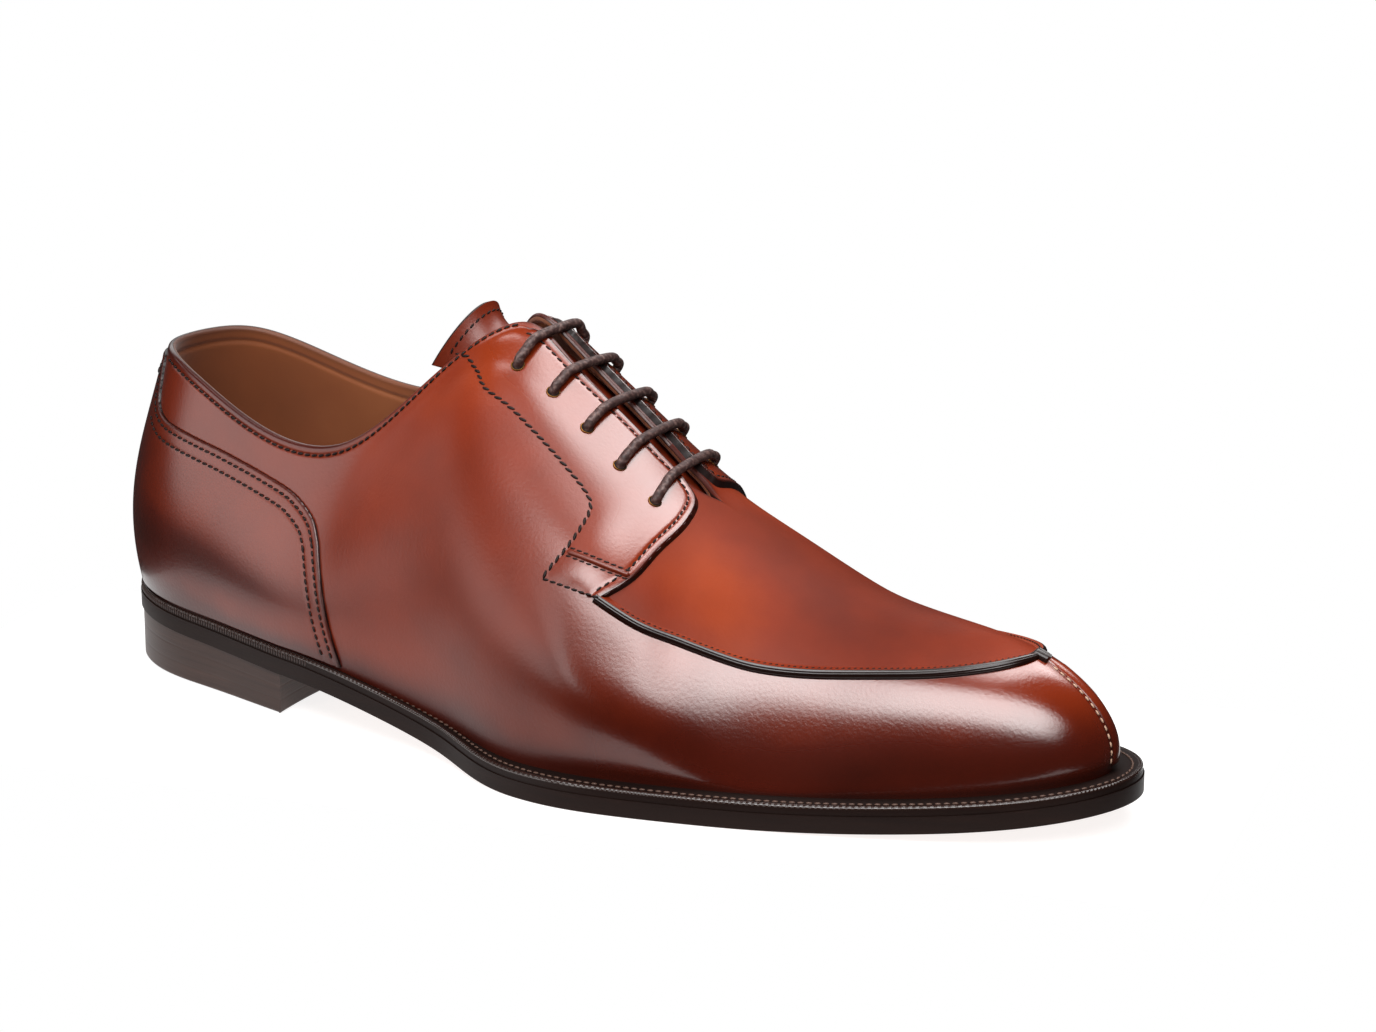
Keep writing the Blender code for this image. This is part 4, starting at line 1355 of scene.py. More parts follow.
@dataclass
class Counter:
    """Heel counter with its back strap: a cut edge and two rows of stitches."""

    form: FootForm
    look: Finishes
    thickness: float = 0.85
    low: float = 0.012  # t of its lower edge
    row_in: tuple[float, float] = (2.0, 5.4)  # stitch rows inside the edge
    thread: Thread = Thread(2.1, 1.7, 0.37)
    columns: int = 300
    rows: int = 56

    def place(self, u: Array, v: Array) -> tuple[Array, Array]:
        """The q and t at u from the inner to the outer side and v up to the top edge.

        Args:
            u: places round the heel.
            v: places up the counter.

        Returns:
            The q and the t of each place.
        """
        across = 2.0 * u - 1.0
        rows = through_rows(COUNTER, np.abs(across))
        v = np.interp(v, (0.0, 0.5, 1.0), (0.0, 0.74, 1.0))
        s = rows[:, 2] + (rows[:, 0] - rows[:, 2]) * v
        return np.sign(across) * s, self.low + (rows[:, 1] - self.low) * v

    def edge(self, count: int = 700) -> tuple[Array, Array]:
        """Edge from the welt on the inner side over the top to the welt on the outer side.

        Args:
            count: points along the top edge.

        Returns:
            The q and the t along the edge.
        """
        up, along = np.linspace(0.0, 1.0, count // 4), np.linspace(0.0, 1.0, count)
        parts = [
            self.place(np.zeros(up.shape), up),
            self.place(along, np.ones(count)),
            self.place(np.ones(up.shape), up[::-1]),
        ]
        return tuple(np.concatenate([part[k] for part in parts]) for k in (0, 1))

    def depth(self, q: Array, t: Array) -> Array:
        """Distance in from the edge."""
        return nearest(self.form.point(q, t), self.form.point(*self.edge()))

    def lift(self, q: Array, t: Array) -> Array:
        """Height over the upper.

        Args:
            q: places round the sole's edge.
            t: heights up the form, from 0 to 1.

        Returns:
            One height for each pair, in millimetres.
        """
        depth = self.depth(q, t)
        drawn = sum(0.12 * groove(depth, inside, 0.5) for inside in self.row_in)
        return self.thickness - rounded_drop(depth, 0.5) - drawn

    def tone(self, u: Array, v: Array) -> Array:
        """Worked-in colour, dark along the cut edge."""
        q, t = self.place(u, v)
        return self.form.tone(q, t) - 0.30 * groove(self.depth(q, t), 0.0, 0.7)

    def row(self, inside: float) -> tuple[Array, Array]:
        """Line of stitches at a distance inside the edge.

        Args:
            inside: distance from the edge, in millimetres.

        Returns:
            The line's points and the normals there.
        """
        q, t = self.edge()
        steps = np.linalg.norm(np.diff(self.form.point(q, t), axis=0), axis=1)
        keep = np.concatenate([[True], steps > 1e-4])
        q, t = self.form.beside(q[keep], t[keep], -inside)
        fits = (t > 0.03) & (t < 0.93) & (np.abs(self.depth(q, t) - inside) < 0.25)
        q, t = q[fits], t[fits]
        return self.form.lifted(q, t, self.lift(q, t) + 0.16), self.form.normal(q, t)

    def build(self) -> None:
        """Make the counter and its stitches."""
        mesh = Mesh("heel_counter_leather", self.columns, self.rows)
        mesh.wall(
            lambda u, v: self.form.lifted(*self.place(u, v), self.lift(*self.place(u, v))),
            lambda u, v: self.form.lifted(*self.place(u, v), -BEDDED),
        )
        mesh.shade(self.tone, lambda u, v: self.form.gloss(*self.place(u, v)))
        piece = mesh.finish([self.look.calf, self.look.calf, self.look.edge], sharp=50.0)
        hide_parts("heel_counter")
        rows = []
        for inside in self.row_in:
            points, normals = self.row(inside)
            cut = np.flatnonzero(np.linalg.norm(np.diff(points, axis=0), axis=1) > 4.0) + 1
            rows += [pair for pair in zip(np.split(points, cut), np.split(normals, cut)) if len(pair[0]) > 4]
        self.thread.sew("heel_counter_stitches", rows, self.look.thread)


@dataclass
class Seams:
    """Raised apron seam round the toe and the sewn seam down the middle of the toe."""

    form: FootForm
    look: Finishes
    width: float = 3.8  # of the apron seam
    height: float = 1.5
    tuck: float = 0.013  # how far the ends run on under the facings, in s
    bed: float = 0.5  # how far both reach into the upper
    toe_width: float = 7.0
    beak_top: float = 0.772  # t of the beak's upper end
    beak_run: float = 0.085  # and its length in t
    apron_thread: Thread = Thread(1.5, 1.15, 0.20, 25.0)
    toe_thread: Thread = Thread(2.1, 1.45, 0.33, 0.0)

    def apron(self, u: Array) -> tuple[Array, Array]:
        """The q and t of the apron seam, from the outer facing round the toe to the inner one.

        Args:
            u: places along the seam.

        Returns:
            The q and the t of each place.
        """
        along = 2.0 * np.asarray(u, float)
        rows = through_rows(APRON, 1.0 - np.abs(1.0 - along))
        rows[..., 0] -= self.tuck * (1.0 - smoothstep(3.0 * np.minimum(along, 2.0 - along)))
        outer = along <= 1.0
        q = np.where(outer, rows[..., 0], 2.0 - rows[..., 0])
        return q, np.where(outer, rows[..., 1], rows[..., 2])

    def toe(self, u: Array) -> tuple[Array, Array]:
        """The q and t of the toe seam, from the apron seam down to the welt."""
        high = APRON[-1][1] - 0.03
        return np.ones(u.shape), high + (0.02 - high) * u

    def strip(
        self, line: Callable[[Array], tuple[Array, Array]], width: Callable[[Array], Array], profile: Surface
    ) -> tuple[Surface, Surface]:
        """Upper and lower face of a raised strip along a line.

        Args:
            line: q and t along the strip.
            width: its width at u.
            profile: its height at u and at w from -1 to 1 across.

        Returns:
            Two shapes of u along and v across.
        """

        def face(u: Array, w: Array, high: Array) -> Array:
            """Point over the line.

            Args:
                u: places along the strip.
                w: places across, from -1 to 1.
                high: heights over the upper.

            Returns:
                One point for each place.
            """
            q, t = line(u)
            ahead = self.form.point(*line(np.clip(u + 1e-3, 0, 1)))
            along = ahead - self.form.point(*line(np.clip(u - 1e-3, 0, 1)))
            normal = self.form.normal(q, t)
            sideways = unit(np.cross(normal, along)) * (0.5 * width(u) * w)[:, None]
            return self.form.point(q, t) + sideways + normal * high[:, None]

        return (
            lambda u, v: face(u, 2.0 * v - 1.0, profile(u, 2.0 * v - 1.0)),
            lambda u, v: face(u, 2.0 * v - 1.0, np.full(u.shape, -self.bed)),
        )

    def build_apron(self) -> None:
        """Make the apron's edge: a stitched rim, and its thick cut edge, inked dark, on the wall side."""
        rim, foot = 0.12, -0.88  # places across, from -1 at the wall to 1 on the apron

        def width(u: Array) -> Array:
            """Narrower towards the tip of the toe."""
            return self.width * (1.0 - 0.50 * groove(u, 0.5, 0.05))

        def profile(u: Array, w: Array) -> Array:
            """Rise of the apron to its rim, then the cut edge with the lines of its layers.

            Args:
                u: places along the seam.
                w: places across, from -1 to 1.

            Returns:
                One height for each pair.
            """
            slope = smoothstep((1.0 - w) / (1.0 - rim))
            down = np.clip((w - foot) / (rim - foot), 0.0, 1.0)
            edge = np.sqrt(np.clip(1.0 - (1.0 - down) ** 2.4, 0.0, 1.0))
            layers = 0.10 * (groove(down, 0.30, 0.07) + groove(down, 0.62, 0.07))
            tip = 1.0 - 0.25 * groove(u, 0.5, 0.05)
            high = self.height * tip * np.where(w > rim, slope, edge)
            sewn = 0.18 * groove(w, 0.52, 0.10)
            return high - np.where(w < rim, layers, sewn) - 0.06

        top, low = self.strip(self.apron, width, profile)
        mesh = Mesh("apron_seam_edge", 460, 40)
        mesh.wall(top, low)
        mesh.paint(3, lambda u, v: v < 0.5 + 0.5 * (rim + 0.06))
        mesh.shade(
            lambda u, v: np.where(v > 0.56, self.form.tone(*self.apron(u)) + 0.05, 0.35),
            lambda u, v: np.where(v > 0.56, 0.35, 0.8),
        )
        piece = mesh.finish([self.look.apron, self.look.seam, self.look.seam, self.look.seam], sharp=70.0)
        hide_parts("apron_seam")
        u = np.linspace(0.02, 0.98, 900)
        normals = self.form.normal(*self.apron(u))
        points = top(u, np.full(u.shape, 0.76)) + 0.08 * normals
        self.apron_thread.sew("apron_stitches", [(points, normals)], self.look.thread)

    def build_toe(self) -> None:
        """Make the toe seam: a raised band on the inner side and pale stitches in the groove."""
        row = -0.29  # place of the groove across the band

        def width(u: Array) -> Array:
            """Even, with a point at the apron."""
            return self.toe_width * (0.45 + 0.55 * smoothstep(u / 0.12))

        def profile(u: Array, w: Array) -> Array:
            """Groove on the outer side, where the strip dives under the upper, then the band.

            Args:
                u: places along the seam.
                w: places across, from -1 to 1.

            Returns:
                One height for each pair.
            """
            band = 0.80 * np.sqrt(np.clip(1.0 - ((w - 0.43) / 0.57) ** 2, 0.0, 1.0))
            fade = smoothstep((1.0 - u) / 0.05)
            dive = 0.45 * smoothstep((row - 0.10 - w) / 0.25)
            return np.maximum(band, 0.06) * fade - 0.05 - dive - 0.12 * groove(w, row, 0.08)

        top, low = self.strip(self.toe, width, profile)
        mesh = Mesh("toe_seam_band", 90, 36)
        mesh.wall(top, low)
        # The groove is painted darker than the band beside it: painted shade in the groove.
        mesh.shade(
            lambda u, v: self.form.tone(*self.toe(u)) - 0.6 * groove(2.0 * v - 1.0, row, 0.13), 0.75
        )
        piece = mesh.finish([self.look.calf, self.look.calf, self.look.calf], sharp=70.0)
        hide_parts("toe_seam")
        u = np.linspace(0.07, 0.96, 200)
        points = top(u, np.full(u.shape, 0.5 + 0.5 * row))
        sewn = points + 0.16 * self.form.normal(*self.toe(u)), self.form.normal(*self.toe(u))
        self.toe_thread.sew("toe_stitches", [sewn], self.look.pale_thread)

    def build_beak(self) -> None:
        """Make the folded end where the two lips of the apron seam meet over the toe seam."""

        def line(u: Array) -> tuple[Array, Array]:
            """From on the apron to just over the toe."""
            return np.ones(np.shape(u)), self.beak_top - self.beak_run * np.asarray(u, float)

        def profile(u: Array, w: Array) -> Array:
            """Rounded ridge with a fold along its middle, cut off square."""
            ends = smoothstep(u / 0.25) * smoothstep((1.0 - u) / 0.06)
            return (1.9 * np.sqrt(np.clip(1.0 - w**2, 0.0, 1.0)) - 0.25 * groove(w, 0.0, 0.12)) * ends - 0.1

        mesh = Mesh("apron_beak", 30, 20)
        mesh.wall(*self.strip(line, lambda u: 4.6 - 1.2 * u, profile))
        mesh.shade(lambda u, v: 0.3 + 0.5 * smoothstep((u - 0.8) / 0.2), 0.5)
        mesh.finish([self.look.seam, self.look.seam, self.look.seam], sharp=60.0)

    def build(self) -> None:
        """Make both seams."""
        self.build_apron()
        self.build_toe()
        self.build_beak()


@dataclass
class Tongue:
    """Tongue under the throat, from below the vamp to above the collar.

    neck and tip are cross lines: the middle of an arch (x, y, z), half its width, how far its ends
    drop and lie back, and the angle above level that its outer face looks at.
    """

    form: FootForm
    look: Finishes
    thickness: float = 1.6
    front: float = 0.70  # s of its front end
    bend: float = 0.47  # s where it leaves the throat
    edge: tuple[float, float] = (0.78, 0.905)  # t of its side edges at these two
    gap: tuple[float, float] = (0.8, 2.0)  # and its distance to the lining
    neck: tuple[float, ...] = (-34.0, 0.75, 102.0, 9.0, 8.0, 4.0, 60.0)
    tip: tuple[float, ...] = (-37.0, 0.75, 111.7, 12.3, 16.0, 10.0, 17.0)
    share: float = 0.66  # part of the tongue's length that lies under the throat
    middle: float = 0.12  # part of its half width that crosses the slit
    thread: Thread = Thread(2.1, 1.7, 0.30)

    def under(self, s: Array, side: Array, w: Array, lift: Array) -> Array:
        """Point under the throat at w from -1 on the outer to 1 on the inner side.

        Args:
            s: places from the heel, 0, to the toe, 1.
            side: t of the tongue's side edges.
            w: places across, from -1 to 1.
            lift: distance out from the upper's face.

        Returns:
            One point for each s and w.
        """
        away = np.clip((np.abs(w) - self.middle) / (1.0 - self.middle), 0.0, 1.0)
        t = 1.0 - (1.0 - side) * away
        across = (0.5 + 0.5 * np.clip(w / self.middle, -1.0, 1.0))[:, None]
        return self.form.lifted(s, t, lift) * (1.0 - across) + self.form.lifted(2.0 - s, t, lift) * across

    def face(self, depth: float) -> Surface:
        """One face of the tongue, at a depth below its outer face.

        Args:
            depth: depth in millimetres.

        Returns:
            The face's shape.
        """

        def arch(line: tuple[float, ...], w: Array) -> Array:
            """Arched cross line of the part above the throat.

            Args:
                line: the cross line's measures.
                w: places across, from -1 to 1.

            Returns:
                One point for each w.
            """
            x, y, z, half, drop, back, facing = line
            angle, facing = 0.5 * math.pi * w, math.radians(facing)
            fall = 1.0 - np.cos(angle)
            far_x = x - depth * math.cos(facing) - back * fall
            far_y = y + (half - depth) * np.sin(angle)
            return np.stack([far_x, far_y, z - depth * math.sin(facing) - drop * fall], -1)

        def shape(u: Array, v: Array) -> Array:
            """Point of the face at u from front to top and v across.

            Args:
                u: places from front to top.
                v: places across.

            Returns:
                One point for each pair.
            """
            w = 2.0 * v - 1.0
            near = np.clip(u / self.share, 0.0, 1.0)
            deep = -(self.form.wall + self.gap[0] + (self.gap[1] - self.gap[0]) * near**2 + depth)
            s = self.front + (self.bend - self.front) * near
            side = self.edge[0] + (self.edge[1] - self.edge[0]) * near**3
            start = self.under(s, side, w, deep)
            neck, tip = arch(self.neck, w), arch(self.tip, w)
            past = np.clip((u - self.share) / (1.0 - self.share), 0.0, 1.0)[:, None]
            return start * (1 - past) ** 2 + 2 * neck * past * (1 - past) + tip * past**2

        return shape

    def build(self) -> None:
        """Make the tongue and the stitches round its top."""
        mesh = Mesh("tongue_leather", 72, 40)
        top = self.face(0.0)
        mesh.wall(top, self.face(self.thickness))
        mesh.shade(0.45, 0.25)
        piece = mesh.finish([self.look.calf, self.look.lining, self.look.edge], sharp=50.0)
        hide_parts("tongue")
        # One row up the outer side, across below the top edge and down the inner side.
        even = np.linspace(0.0, 1.0, 80)
        u = np.concatenate([0.80 + 0.155 * even, np.full(80, 0.955), 0.955 - 0.155 * even])
        v = np.concatenate([np.full(80, 0.10), 0.10 + 0.80 * even, np.full(80, 0.90)])
        keep = np.r_[np.arange(0, 79), np.arange(80, 159), np.arange(160, 240)]
        u, v = u[keep], v[keep]
        step = 1e-3
        normals = unit(np.cross(top(u, v + step) - top(u, v - step), top(u + step, v) - top(u - step, v)))
        normals *= np.sign(normals[:, 0] + normals[:, 2])[:, None]
        self.thread.sew("tongue_stitches", [(top(u, v) + 0.05 * normals, normals)], self.look.thread)


@dataclass
class Lacing:
    """Straight lacing: five bars of one round lace, through punched eyelets."""

    facings: dict[Side, Facing]
    look: Finishes
    radius: float = 1.3
    hole: float = 1.7
    rim: float = 0.22  # radius of the brass ring's wire
    # Half a bar, from inside its eyelet: share of the way out from the throat, and height over the facing.
    half_bar: tuple[tuple[float, float], ...] = (
        (1.0, -2.2), (0.985, 0.1), (0.90, 1.75), (0.72, 1.75), (0.42, 1.85),
    )
    crest: tuple[float, float, float] = (0.25, 0.0, 0.55)  # how the bar's middle stands over its halves

    def eyelet(self, side: Side, s: float, t: float) -> tuple[Array, Array]:
        """Centre of an eyelet on the facing's face, and the normal there.

        Args:
            side: side of the shoe.
            s: the eyelet's s.
            t: the eyelet's t.

        Returns:
            The centre and the normal.
        """
        facing = self.facings[side]
        q, t = side.q(np.array([s])), np.array([t])
        return facing.form.lifted(q, t, facing.lift(q, t))[0], facing.form.normal(q, t)[0]

    def bar(self, number: int, s: float, t: float) -> None:
        """Make one bar, from inside the outer eyelet over the throat into the inner one.

        Args:
            number: the bar's number from the toe.
            s: s of its eyelets.
            t: t of its eyelets.
        """
        form = self.facings[Side.OUTER].form
        rows = []
        for side in Side:
            q = side.q(np.array([s]))
            half = []
            for share, over in self.half_bar:
                place = np.array([1.0 - (1.0 - t) * share])
                base = self.facings[side].lift(q, place)
                half.append(form.lifted(q, place, base + over)[0])
            rows += half if side is Side.OUTER else half[::-1]
        count = len(self.half_bar)
        rows.insert(count, 0.5 * (rows[count - 1] + rows[count]) + np.array(self.crest))
        points = through_rows(rows, np.linspace(0.0, 1.0, 91))
        mesh = Mesh(f"lace_{number}", 90, 16)
        mesh.skin(tube(points, np.full(91, self.radius)))
        mesh.shade(0.5, 0.4)
        piece = mesh.finish([self.look.lace, self.look.lace], sharp=80.0)
        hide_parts(f"lace_bar_{number}")

    def build(self) -> None:
        """Make the eyelets and the bars."""
        turn = np.linspace(0.0, 2.0 * np.pi, 25)
        for number, (s, t) in enumerate(EYELETS, 1):
            for side in Side:
                centre, up = self.eyelet(side, s, t)
                first = unit(np.cross(up, (0.0, 1.0, 0.0)))
                second = np.cross(up, first)
                ring = np.outer(np.cos(turn), first) + np.outer(np.sin(turn), second)
                rim = Mesh(f"eyelet_{side.value}_{number}", 24, 8)
                rim.skin(tube(centre + ring * (self.hole - 0.05), np.full(25, self.rim)))
                rim.shade(0.3, 0.5)
                rim.finish([self.look.brass, self.look.brass])
                # A black plug in each hole: painted shade standing in for the dark inside of the open hole.
                hole = Mesh(f"eyelet_hole_{side.value}_{number}", 24, 3)
                hole.skin(
                    lambda u, v, ring=ring, centre=centre, up=up: centre
                    + np.stack([np.interp(u, np.linspace(0, 1, 25), ring[:, k]) for k in range(3)], 1)
                    * self.hole + up * np.interp(v, (0.0, 1.0), (-0.6, 0.06))[:, None]
                )
                hole.shade(0.3, 0.0)
                hole.finish([self.look.dark, self.look.dark])
            self.bar(number, s, t)


@dataclass
class Bottom:
    """Welt, outsole, stacked heel and the sock inside."""

    form: FootForm
    look: Finishes
    sole: float = 4.2
    sole_lap: float = 0.25  # how far the sole's top reaches up to the welt
    welt_low: float = 4.4  # faces of the welt over the sole's underside
    welt_high: float = 6.9
    welt_inset: float = 0.35  # how far it lies in from the sole's edge
    ledge: float = 8.0  # how far it runs in under the upper
    row_in: float = 2.6  # its stitches inside the edge
    thread: Thread = Thread(2.1, 1.6, 0.36, 6.0)
    heel_q: float = 0.30  # where the stitches give way to wheel marks round the heel
    wheel: Thread = Thread(1.05, 2.1, 0.30, 90.0)
    heel_inset: float = 0.55
    breast_hollow: float = 3.0  # of the heel's front face
    lifts: int = 3
    sock: tuple[float, float] = (7.0, 9.8)  # faces of the sock lining over the sole's underside
    sock_dip: float = 0.6  # fall of its middle
    sock_gap: float = 0.6  # to the lining

    def plate(self, reach: Callable[[Array], Array], base: float, crown: float = 0.0) -> Surface:
        """Face of a plate under the foot: u from heel to toe, v from the outer to the inner side.

        Args:
            reach: how far its edge lies out from the foot of the upper, at q.
            base: height over the sole's underside.
            crown: rise of the middle.

        Returns:
            The face's shape.
        """

        def shape(u: Array, v: Array) -> Array:
            """Point of the plate.

            Args:
                u: places from heel to toe.
                v: places across.

            Returns:
                One point for each pair.
            """
            s = around_q(u)
            outer = self.form.edge_point(s, reach(s))
            inner = self.form.edge_point(2.0 - s, reach(2.0 - s))
            flat = outer + (inner - outer) * v[:, None]
            return self.form.over_sole(flat, base + crown * 4.0 * v * (1.0 - v))

        return shape

    def build_outsole(self) -> None:
        """Make the sole with its rounded, ironed edge."""
        mesh = Mesh("outsole_leather", 240, 10)
        mesh.wall(self.plate(self.form.ledge, 0.0), self.plate(self.form.ledge, self.sole + self.sole_lap))
        mesh.shade(0.45, 0.5)
        piece = mesh.finish([self.look.tread, self.look.sole_edge, self.look.sole_edge], sharp=40.0)
        self.round_edges(piece, 0.8)
        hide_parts("outsole")

    def round_edges(self, piece: bpy.types.Object, width: float) -> None:
        """Break the sharp edges of a piece.

        Args:
            piece: the piece's object.
            width: width of the rounding, in millimetres.
        """
        bevel = piece.modifiers.new("broken_edges", "BEVEL")
        bevel.width = width * MM
        bevel.segments = 3
        bevel.profile = 0.5
        bevel.limit_method = "ANGLE"
        bevel.angle_limit = math.radians(50.0)

    def build_welt(self) -> None:
        """Make the welt: a rounded rim, a sunk row of stitches, and wheel marks at the heel."""

        def across(u: Array, v: Array) -> tuple[Array, Array]:
            """Plan point, and depth in from the edge.

            Args:
                u: places round the shoe.
                v: places in from the edge.

            Returns:
                The plan points and the depths.
            """
            q = around_q(2.0 * u) % 2.0
            outer = self.form.ledge(q) - self.welt_inset
            depth = (outer + self.ledge) * v**1.5
            return self.form.edge_point(q, outer - depth), depth

        def top(u: Array, v: Array) -> Array:
            """Upper face.

            Args:
                u: places round the shoe.
                v: places in from the edge.

            Returns:
                One point for each pair.
            """
            flat, depth = across(u, v)
            sunk = 0.35 * groove(depth, self.row_in, 0.7) + rounded_drop(depth, 0.7)
            return self.form.over_sole(flat, self.welt_high - sunk)

        def low(u: Array, v: Array) -> Array:
            """Lower face."""
            return self.form.over_sole(across(u, v)[0], self.welt_low)

        mesh = Mesh("welt_strip", 620, 22)
        mesh.wall(top, low)
        mesh.shade(0.4, lambda u, v: np.clip(1.0 - 0.25 * across(u, v)[1], 0.0, 1.0))
        mesh.mark("wheel", lambda u, v: groove(across(u, v)[1], 0.5, 0.7))
        # The outer edge of the welt takes the rim's lighter finish: partly a painted highlight along the
        # rounded rim.
        mesh.paint(3, lambda u, v: across(np.array([u]), np.array([v]))[1][0] < 1.0)
        piece = mesh.finish([self.look.welt, self.look.welt, self.look.sole_edge, self.look.rim], sharp=50.0)
        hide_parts("welt")
        q = np.linspace(self.heel_q, 2.0 - self.heel_q, 1500)
        flat = self.form.edge_point(q, self.form.ledge(q) - self.welt_inset - self.row_in)
        points = self.form.over_sole(flat, self.welt_high - 0.18)
        normals = np.tile((0.0, 0.0, 1.0), (len(q), 1))
        self.thread.sew("welt_stitches", [(points, normals)], self.look.welt_thread)
        q = np.linspace(-self.heel_q, self.heel_q, 900)
        flat = self.form.edge_point(q, self.form.ledge(q) - self.welt_inset - 0.05)
        points = self.form.over_sole(flat, 0.5 * (self.welt_low + self.welt_high))
        normals = np.concatenate([self.form.edge_normal(q), np.zeros((len(q), 1))], -1)
        self.wheel.sew("heel_wheel_marks", [(points, normals)], self.look.rim)

    def breast_q(self, side: float, inset: float) -> float:
        """The q where the sole's edge crosses the front of the heel, on one side.

        Args:
            side: 1 on the outer side, -1 on the inner side.
            inset: how far the heel lies in from the sole's edge.

        Returns:
            The q, negative on the inner side.
        """
        near, far = 0.1, 0.45
        for _ in range(50):
            middle = np.array([0.5 * (near + far)])
            q = side * middle
            if self.form.edge_point(q, self.form.ledge(q) - inset)[0, 0] < self.form.heel_breast:
                near = middle[0]
            else:
                far = middle[0]
        return side * near

    def build_heel(self) -> None:
        """Make the stacked heel: level lifts with fine joints and a hollow front face."""
        inset = self.heel_inset
        q = np.linspace(self.breast_q(-1.0, inset), self.breast_q(1.0, inset), 161)
        back = self.form.edge_point(q, self.form.ledge(q) - inset)
        even = np.linspace(0.0, 1.0, 33)[1:-1]
        front = back[-1] + (back[0] - back[-1]) * even[:, None]
        front[:, 0] -= self.breast_hollow * 4.0 * even * (1.0 - even)
        outline = np.concatenate([back, front, back[:1]])
        ahead = np.gradient(outline, axis=0)
        ahead[0] = ahead[-1] = outline[1] - outline[-2]
        inward = unit(np.stack([-ahead[:, 1], ahead[:, 0]], 1))
        columns = len(outline) - 1

        def shape(u: Array, v: Array) -> Array:
            """Point of the heel's side.

            Args:
                u: places round the heel.
                v: places up it.

            Returns:
                One point for each pair.
            """
            i = np.clip(np.round(u * columns).astype(int), 0, columns)
            seat = self.form.sole_height(np.minimum(outline[i][:, 0], self.form.heel_breast)) + 0.1
            level = v * self.lifts
            joint = np.abs(level - np.round(level)) * seat / self.lifts
            inner_joint = (np.round(level) > 0.5) & (np.round(level) < self.lifts - 0.5)
            sunk = np.where(inner_joint, 0.05 * groove(joint, 0.0, 0.22), 0.0)
            sunk += rounded_drop(v * seat, 0.7)
            flat = outline[i] + inward[i] * sunk[:, None]
            return np.concatenate([flat, (v * seat)[:, None]], -1)

        mesh = Mesh("heel_stack", columns, 60)
        mesh.skin(shape)
        mesh.shade(0.45, 0.5)
        piece = mesh.finish([self.look.heel, self.look.heel], sharp=40.0)
        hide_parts("heel")

    def build_sock(self) -> None:
        """Make the lining that covers the insole."""

        def edge(q: Array) -> Array:
            """Inside the wall of the upper."""
            return np.full(q.shape, -self.form.wall - self.sock_gap)

        mesh = Mesh("sock_lining", 120, 16)
        mesh.wall(self.plate(edge, self.sock[1], -self.sock_dip), self.plate(edge, self.sock[0]))
        mesh.shade(0.5, 0.3)
        piece = mesh.finish([self.look.lining, self.look.lining, self.look.lining], sharp=50.0)
        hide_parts("insole")

    def build(self) -> None:
        """Make the pieces under the upper."""
        self.build_outsole()
        self.build_welt()
        self.build_heel()
        self.build_sock()


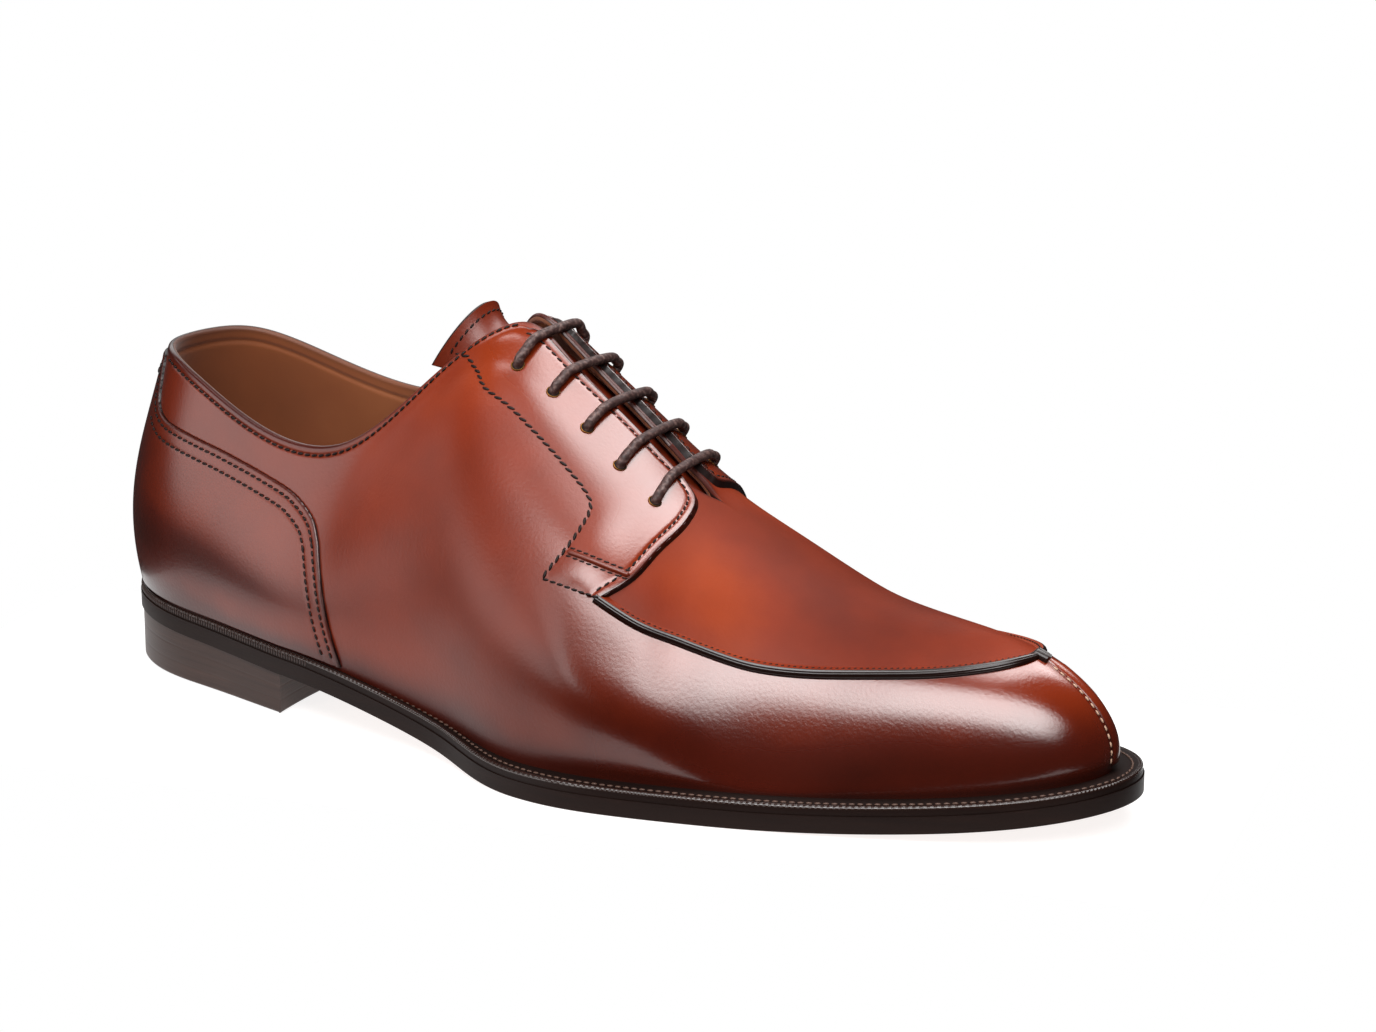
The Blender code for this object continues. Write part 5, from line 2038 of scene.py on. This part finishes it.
@dataclass
class Studio:
    """Plain pale floor, soft lights and the camera at the photograph's angle."""

    azimuth: float = 31.23  # degrees, from square on to the outer side towards the toe
    elevation: float = 15.18
    roll: float = 0.12
    distance: float = 890.24  # from the pivot, millimetres
    focal_px: float = 3403.5
    sensor: float = 36.0
    picture: tuple[float, float] = (1376.0, 1032.0)  # size in pixels
    pivot: tuple[float, float, float] = (0.0, 0.0, 45.0)  # point of the form looked at
    pivot_px: tuple[float, float] = (608.6, 566.9)  # and where it falls in the picture
    box_far: float = 1.25  # distance of the soft boxes' ends, metres
    box_fade: float = 0.32  # share of a box's length and width over which each edge grows dim
    surround: float = 0.04  # dim light from all round
    card_size: tuple[float, float] = (0.37, 0.15)  # white card under the shoe, metres
    card_turn: float = 12.0  # degrees
    card_spot: tuple[float, float, float] = (-0.01, 0.0, -0.0002)
    card_glow: float = 0.85
    gamma: float = 0.93

    def build_camera(self) -> None:
        """Make the camera that frames the shoe as the photograph does."""
        a, e, ro = (math.radians(x) for x in (self.azimuth, self.elevation, self.roll))
        back = np.array([math.sin(a) * math.cos(e), -math.cos(a) * math.cos(e), math.sin(e)])
        right = np.array([math.cos(a), math.sin(a), 0.0])
        up = np.array([-math.sin(a) * math.sin(e), math.cos(a) * math.sin(e), math.cos(e)])
        right, up = right * math.cos(ro) + up * math.sin(ro), up * math.cos(ro) - right * math.sin(ro)
        per_px = self.distance / self.focal_px
        aside = (self.pivot_px[0] - 0.5 * self.picture[0]) * per_px
        above = -(self.pivot_px[1] - 0.5 * self.picture[1]) * per_px
        spot = np.array(self.pivot) + back * self.distance - right * aside - up * above
        data = bpy.data.cameras.new("camera")
        data.sensor_width = self.sensor
        data.lens = self.focal_px * self.sensor / self.picture[0]
        data.clip_start, data.clip_end = 0.01, 50.0
        camera = bpy.data.objects.new("camera", data)
        camera.matrix_world = frame_of((right, up, back), metres(spot))
        bpy.context.scene.collection.objects.link(camera)
        bpy.context.scene.camera = camera

    def add_box(
        self, name: str, first: tuple[float, float], second: tuple[float, float], width: float, glow: float
    ) -> None:
        """Add one soft box that faces the shoe.

        Args:
            name: name of the light.
            first: direction of one end in degrees: turn from the toe to the inner side, and height.
            second: direction of the other end.
            width: its width in metres, measured like its length where its light is down to half.
            glow: its brightness, where 1 is white paper in full light.
        """
        ends = []
        for turn, height in (first, second):
            a, e = math.radians(turn), math.radians(height)
            flat = math.cos(e)
            ends.append(self.box_far * Vector((math.cos(a) * flat, math.sin(a) * flat, math.sin(e))))
        along = ends[1] - ends[0]
        middle = 0.5 * (ends[0] + ends[1])
        right = along.normalized()
        back = (middle - right * middle.dot(right)).normalized()
        data = bpy.data.lights.new(name, "AREA")
        data.shape = "RECTANGLE"
        grown = 1.0 / (1.0 - self.box_fade)
        data.size, data.size_y = along.length * grown, width * grown
        data.energy = glow * math.pi * data.size * data.size_y
        data.use_nodes = True
        tree = data.node_tree
        spot = add_node(tree, "ShaderNodeNewGeometry", {})
        parts = add_node(tree, "ShaderNodeSeparateXYZ", {"Vector": spot.outputs["Parametric"]})
        fades = []
        for axis in ("X", "Y"):
            rim = add_node(tree, "ShaderNodeMath", {0: parts.outputs[axis], 1: 0.5}, operation="PINGPONG")
            fades.append(add_node(
                tree, "ShaderNodeMapRange",
                {"Value": rim.outputs[0], "From Max": self.box_fade},
                interpolation_type="SMOOTHSTEP",
            ).outputs["Result"])
        glowing = add_node(tree, "ShaderNodeMath", {0: fades[0], 1: fades[1]}, operation="MULTIPLY")
        tree.links.new(glowing.outputs[0], tree.nodes["Emission"].inputs["Strength"])
        lamp = bpy.data.objects.new(name, data)
        frame = Matrix((right, back.cross(right), back)).transposed().to_4x4()
        frame.translation = middle + Vector((0.0, 0.0, self.pivot[2] * MM))
        lamp.matrix_world = frame
        bpy.context.scene.collection.objects.link(lamp)

    def build_floor(self) -> None:
        """Make the pale floor."""
        bm = bmesh.new()
        bmesh.ops.create_grid(bm, x_segments=1, y_segments=1, size=0.5)
        bmesh.ops.scale(bm, vec=(*self.card_size, 1.0), verts=bm.verts)
        mesh = bpy.data.meshes.new("floor")
        bm.to_mesh(mesh)
        bm.free()
        # Matt white card on a light table: white round the shoe, with a soft shadow under it.
        card = bpy.data.materials.new("white_card")
        card.use_nodes = True
        shader = card.node_tree.nodes["Principled BSDF"]
        shader.inputs["Base Color"].default_value = hex_colour("#8a8a8a")
        shader.inputs["Roughness"].default_value = 0.85
        shader.inputs["Emission Color"].default_value = (1.0, 1.0, 1.0, 1.0)
        shader.inputs["Emission Strength"].default_value = self.card_glow
        mesh.materials.append(card)
        floor = bpy.data.objects.new("floor", mesh)
        floor.location = self.card_spot
        floor.rotation_euler.z = math.radians(self.card_turn)
        bpy.context.scene.collection.objects.link(floor)

    def build(self) -> None:
        """Make the camera, the lights, the floor and the white surround."""
        self.build_camera()
        self.build_floor()
        # Soft boxes where the photograph's highlights mirror them: two ends (turn, height), width, glow.
        boxes = (
            ("front_box", (-104.0, 49.0), (-31.0, 31.0), 0.48, 10.0),
            ("overhead_strip", (-62.0, 77.0), (70.0, 43.0), 0.36, 9.0),
            ("collar_strip", (-171.0, 57.0), (-144.0, 79.0), 0.16, 5.0),
            ("side_strip", (-107.0, 0.0), (-109.0, 36.0), 0.24, 4.0),
            ("heel_panel", (-119.0, 4.0), (-149.0, 4.0), 0.62, 2.6),
            ("back_panel", (-153.0, 22.0), (-173.0, 22.0), 0.36, 1.4),
            ("far_panel", (105.0, 28.0), (165.0, 28.0), 0.60, 1.6),
        )
        for name, first, second, width, glow in boxes:
            self.add_box(name, first, second, width, glow)
        world = bpy.data.worlds.new("surround")
        world.use_nodes = True
        bpy.context.scene.world = world
        tree = world.node_tree
        # White behind the shoe, dim all round it, so that only the soft boxes are mirrored.
        seen = add_node(tree, "ShaderNodeLightPath", {})
        tint = add_node(
            tree, "ShaderNodeMapRange",
            {"Value": seen.outputs["Is Camera Ray"], "To Min": self.surround, "To Max": 1.0},
        )
        shown = tree.nodes["Background"]
        shown.inputs["Color"].default_value = (1.0, 1.0, 1.0, 1.0)
        tree.links.new(tint.outputs["Result"], shown.inputs["Strength"])
        scene = bpy.context.scene
        scene.view_settings.view_transform = "Standard"
        scene.view_settings.look = "None"
        scene.view_settings.gamma = self.gamma


def main() -> None:
    """Build the shoe's pieces in order."""
    logging.basicConfig(level=logging.INFO, format="%(name)s %(message)s")
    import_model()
    Studio().build()
    look = Finishes()
    form = FootForm()
    Bottom(form, look).build()
    Upper(form, look).build()
    Tongue(form, look).build()
    facings = {side: Facing(form, look, side, f"facing_{side.value}") for side in Side}
    for facing in facings.values():
        facing.build()
    Counter(form, look).build()
    Seams(form, look).build()
    Lacing(facings, look).build()
    bpy.context.view_layer.update()


if __name__ == "__main__":
    main()
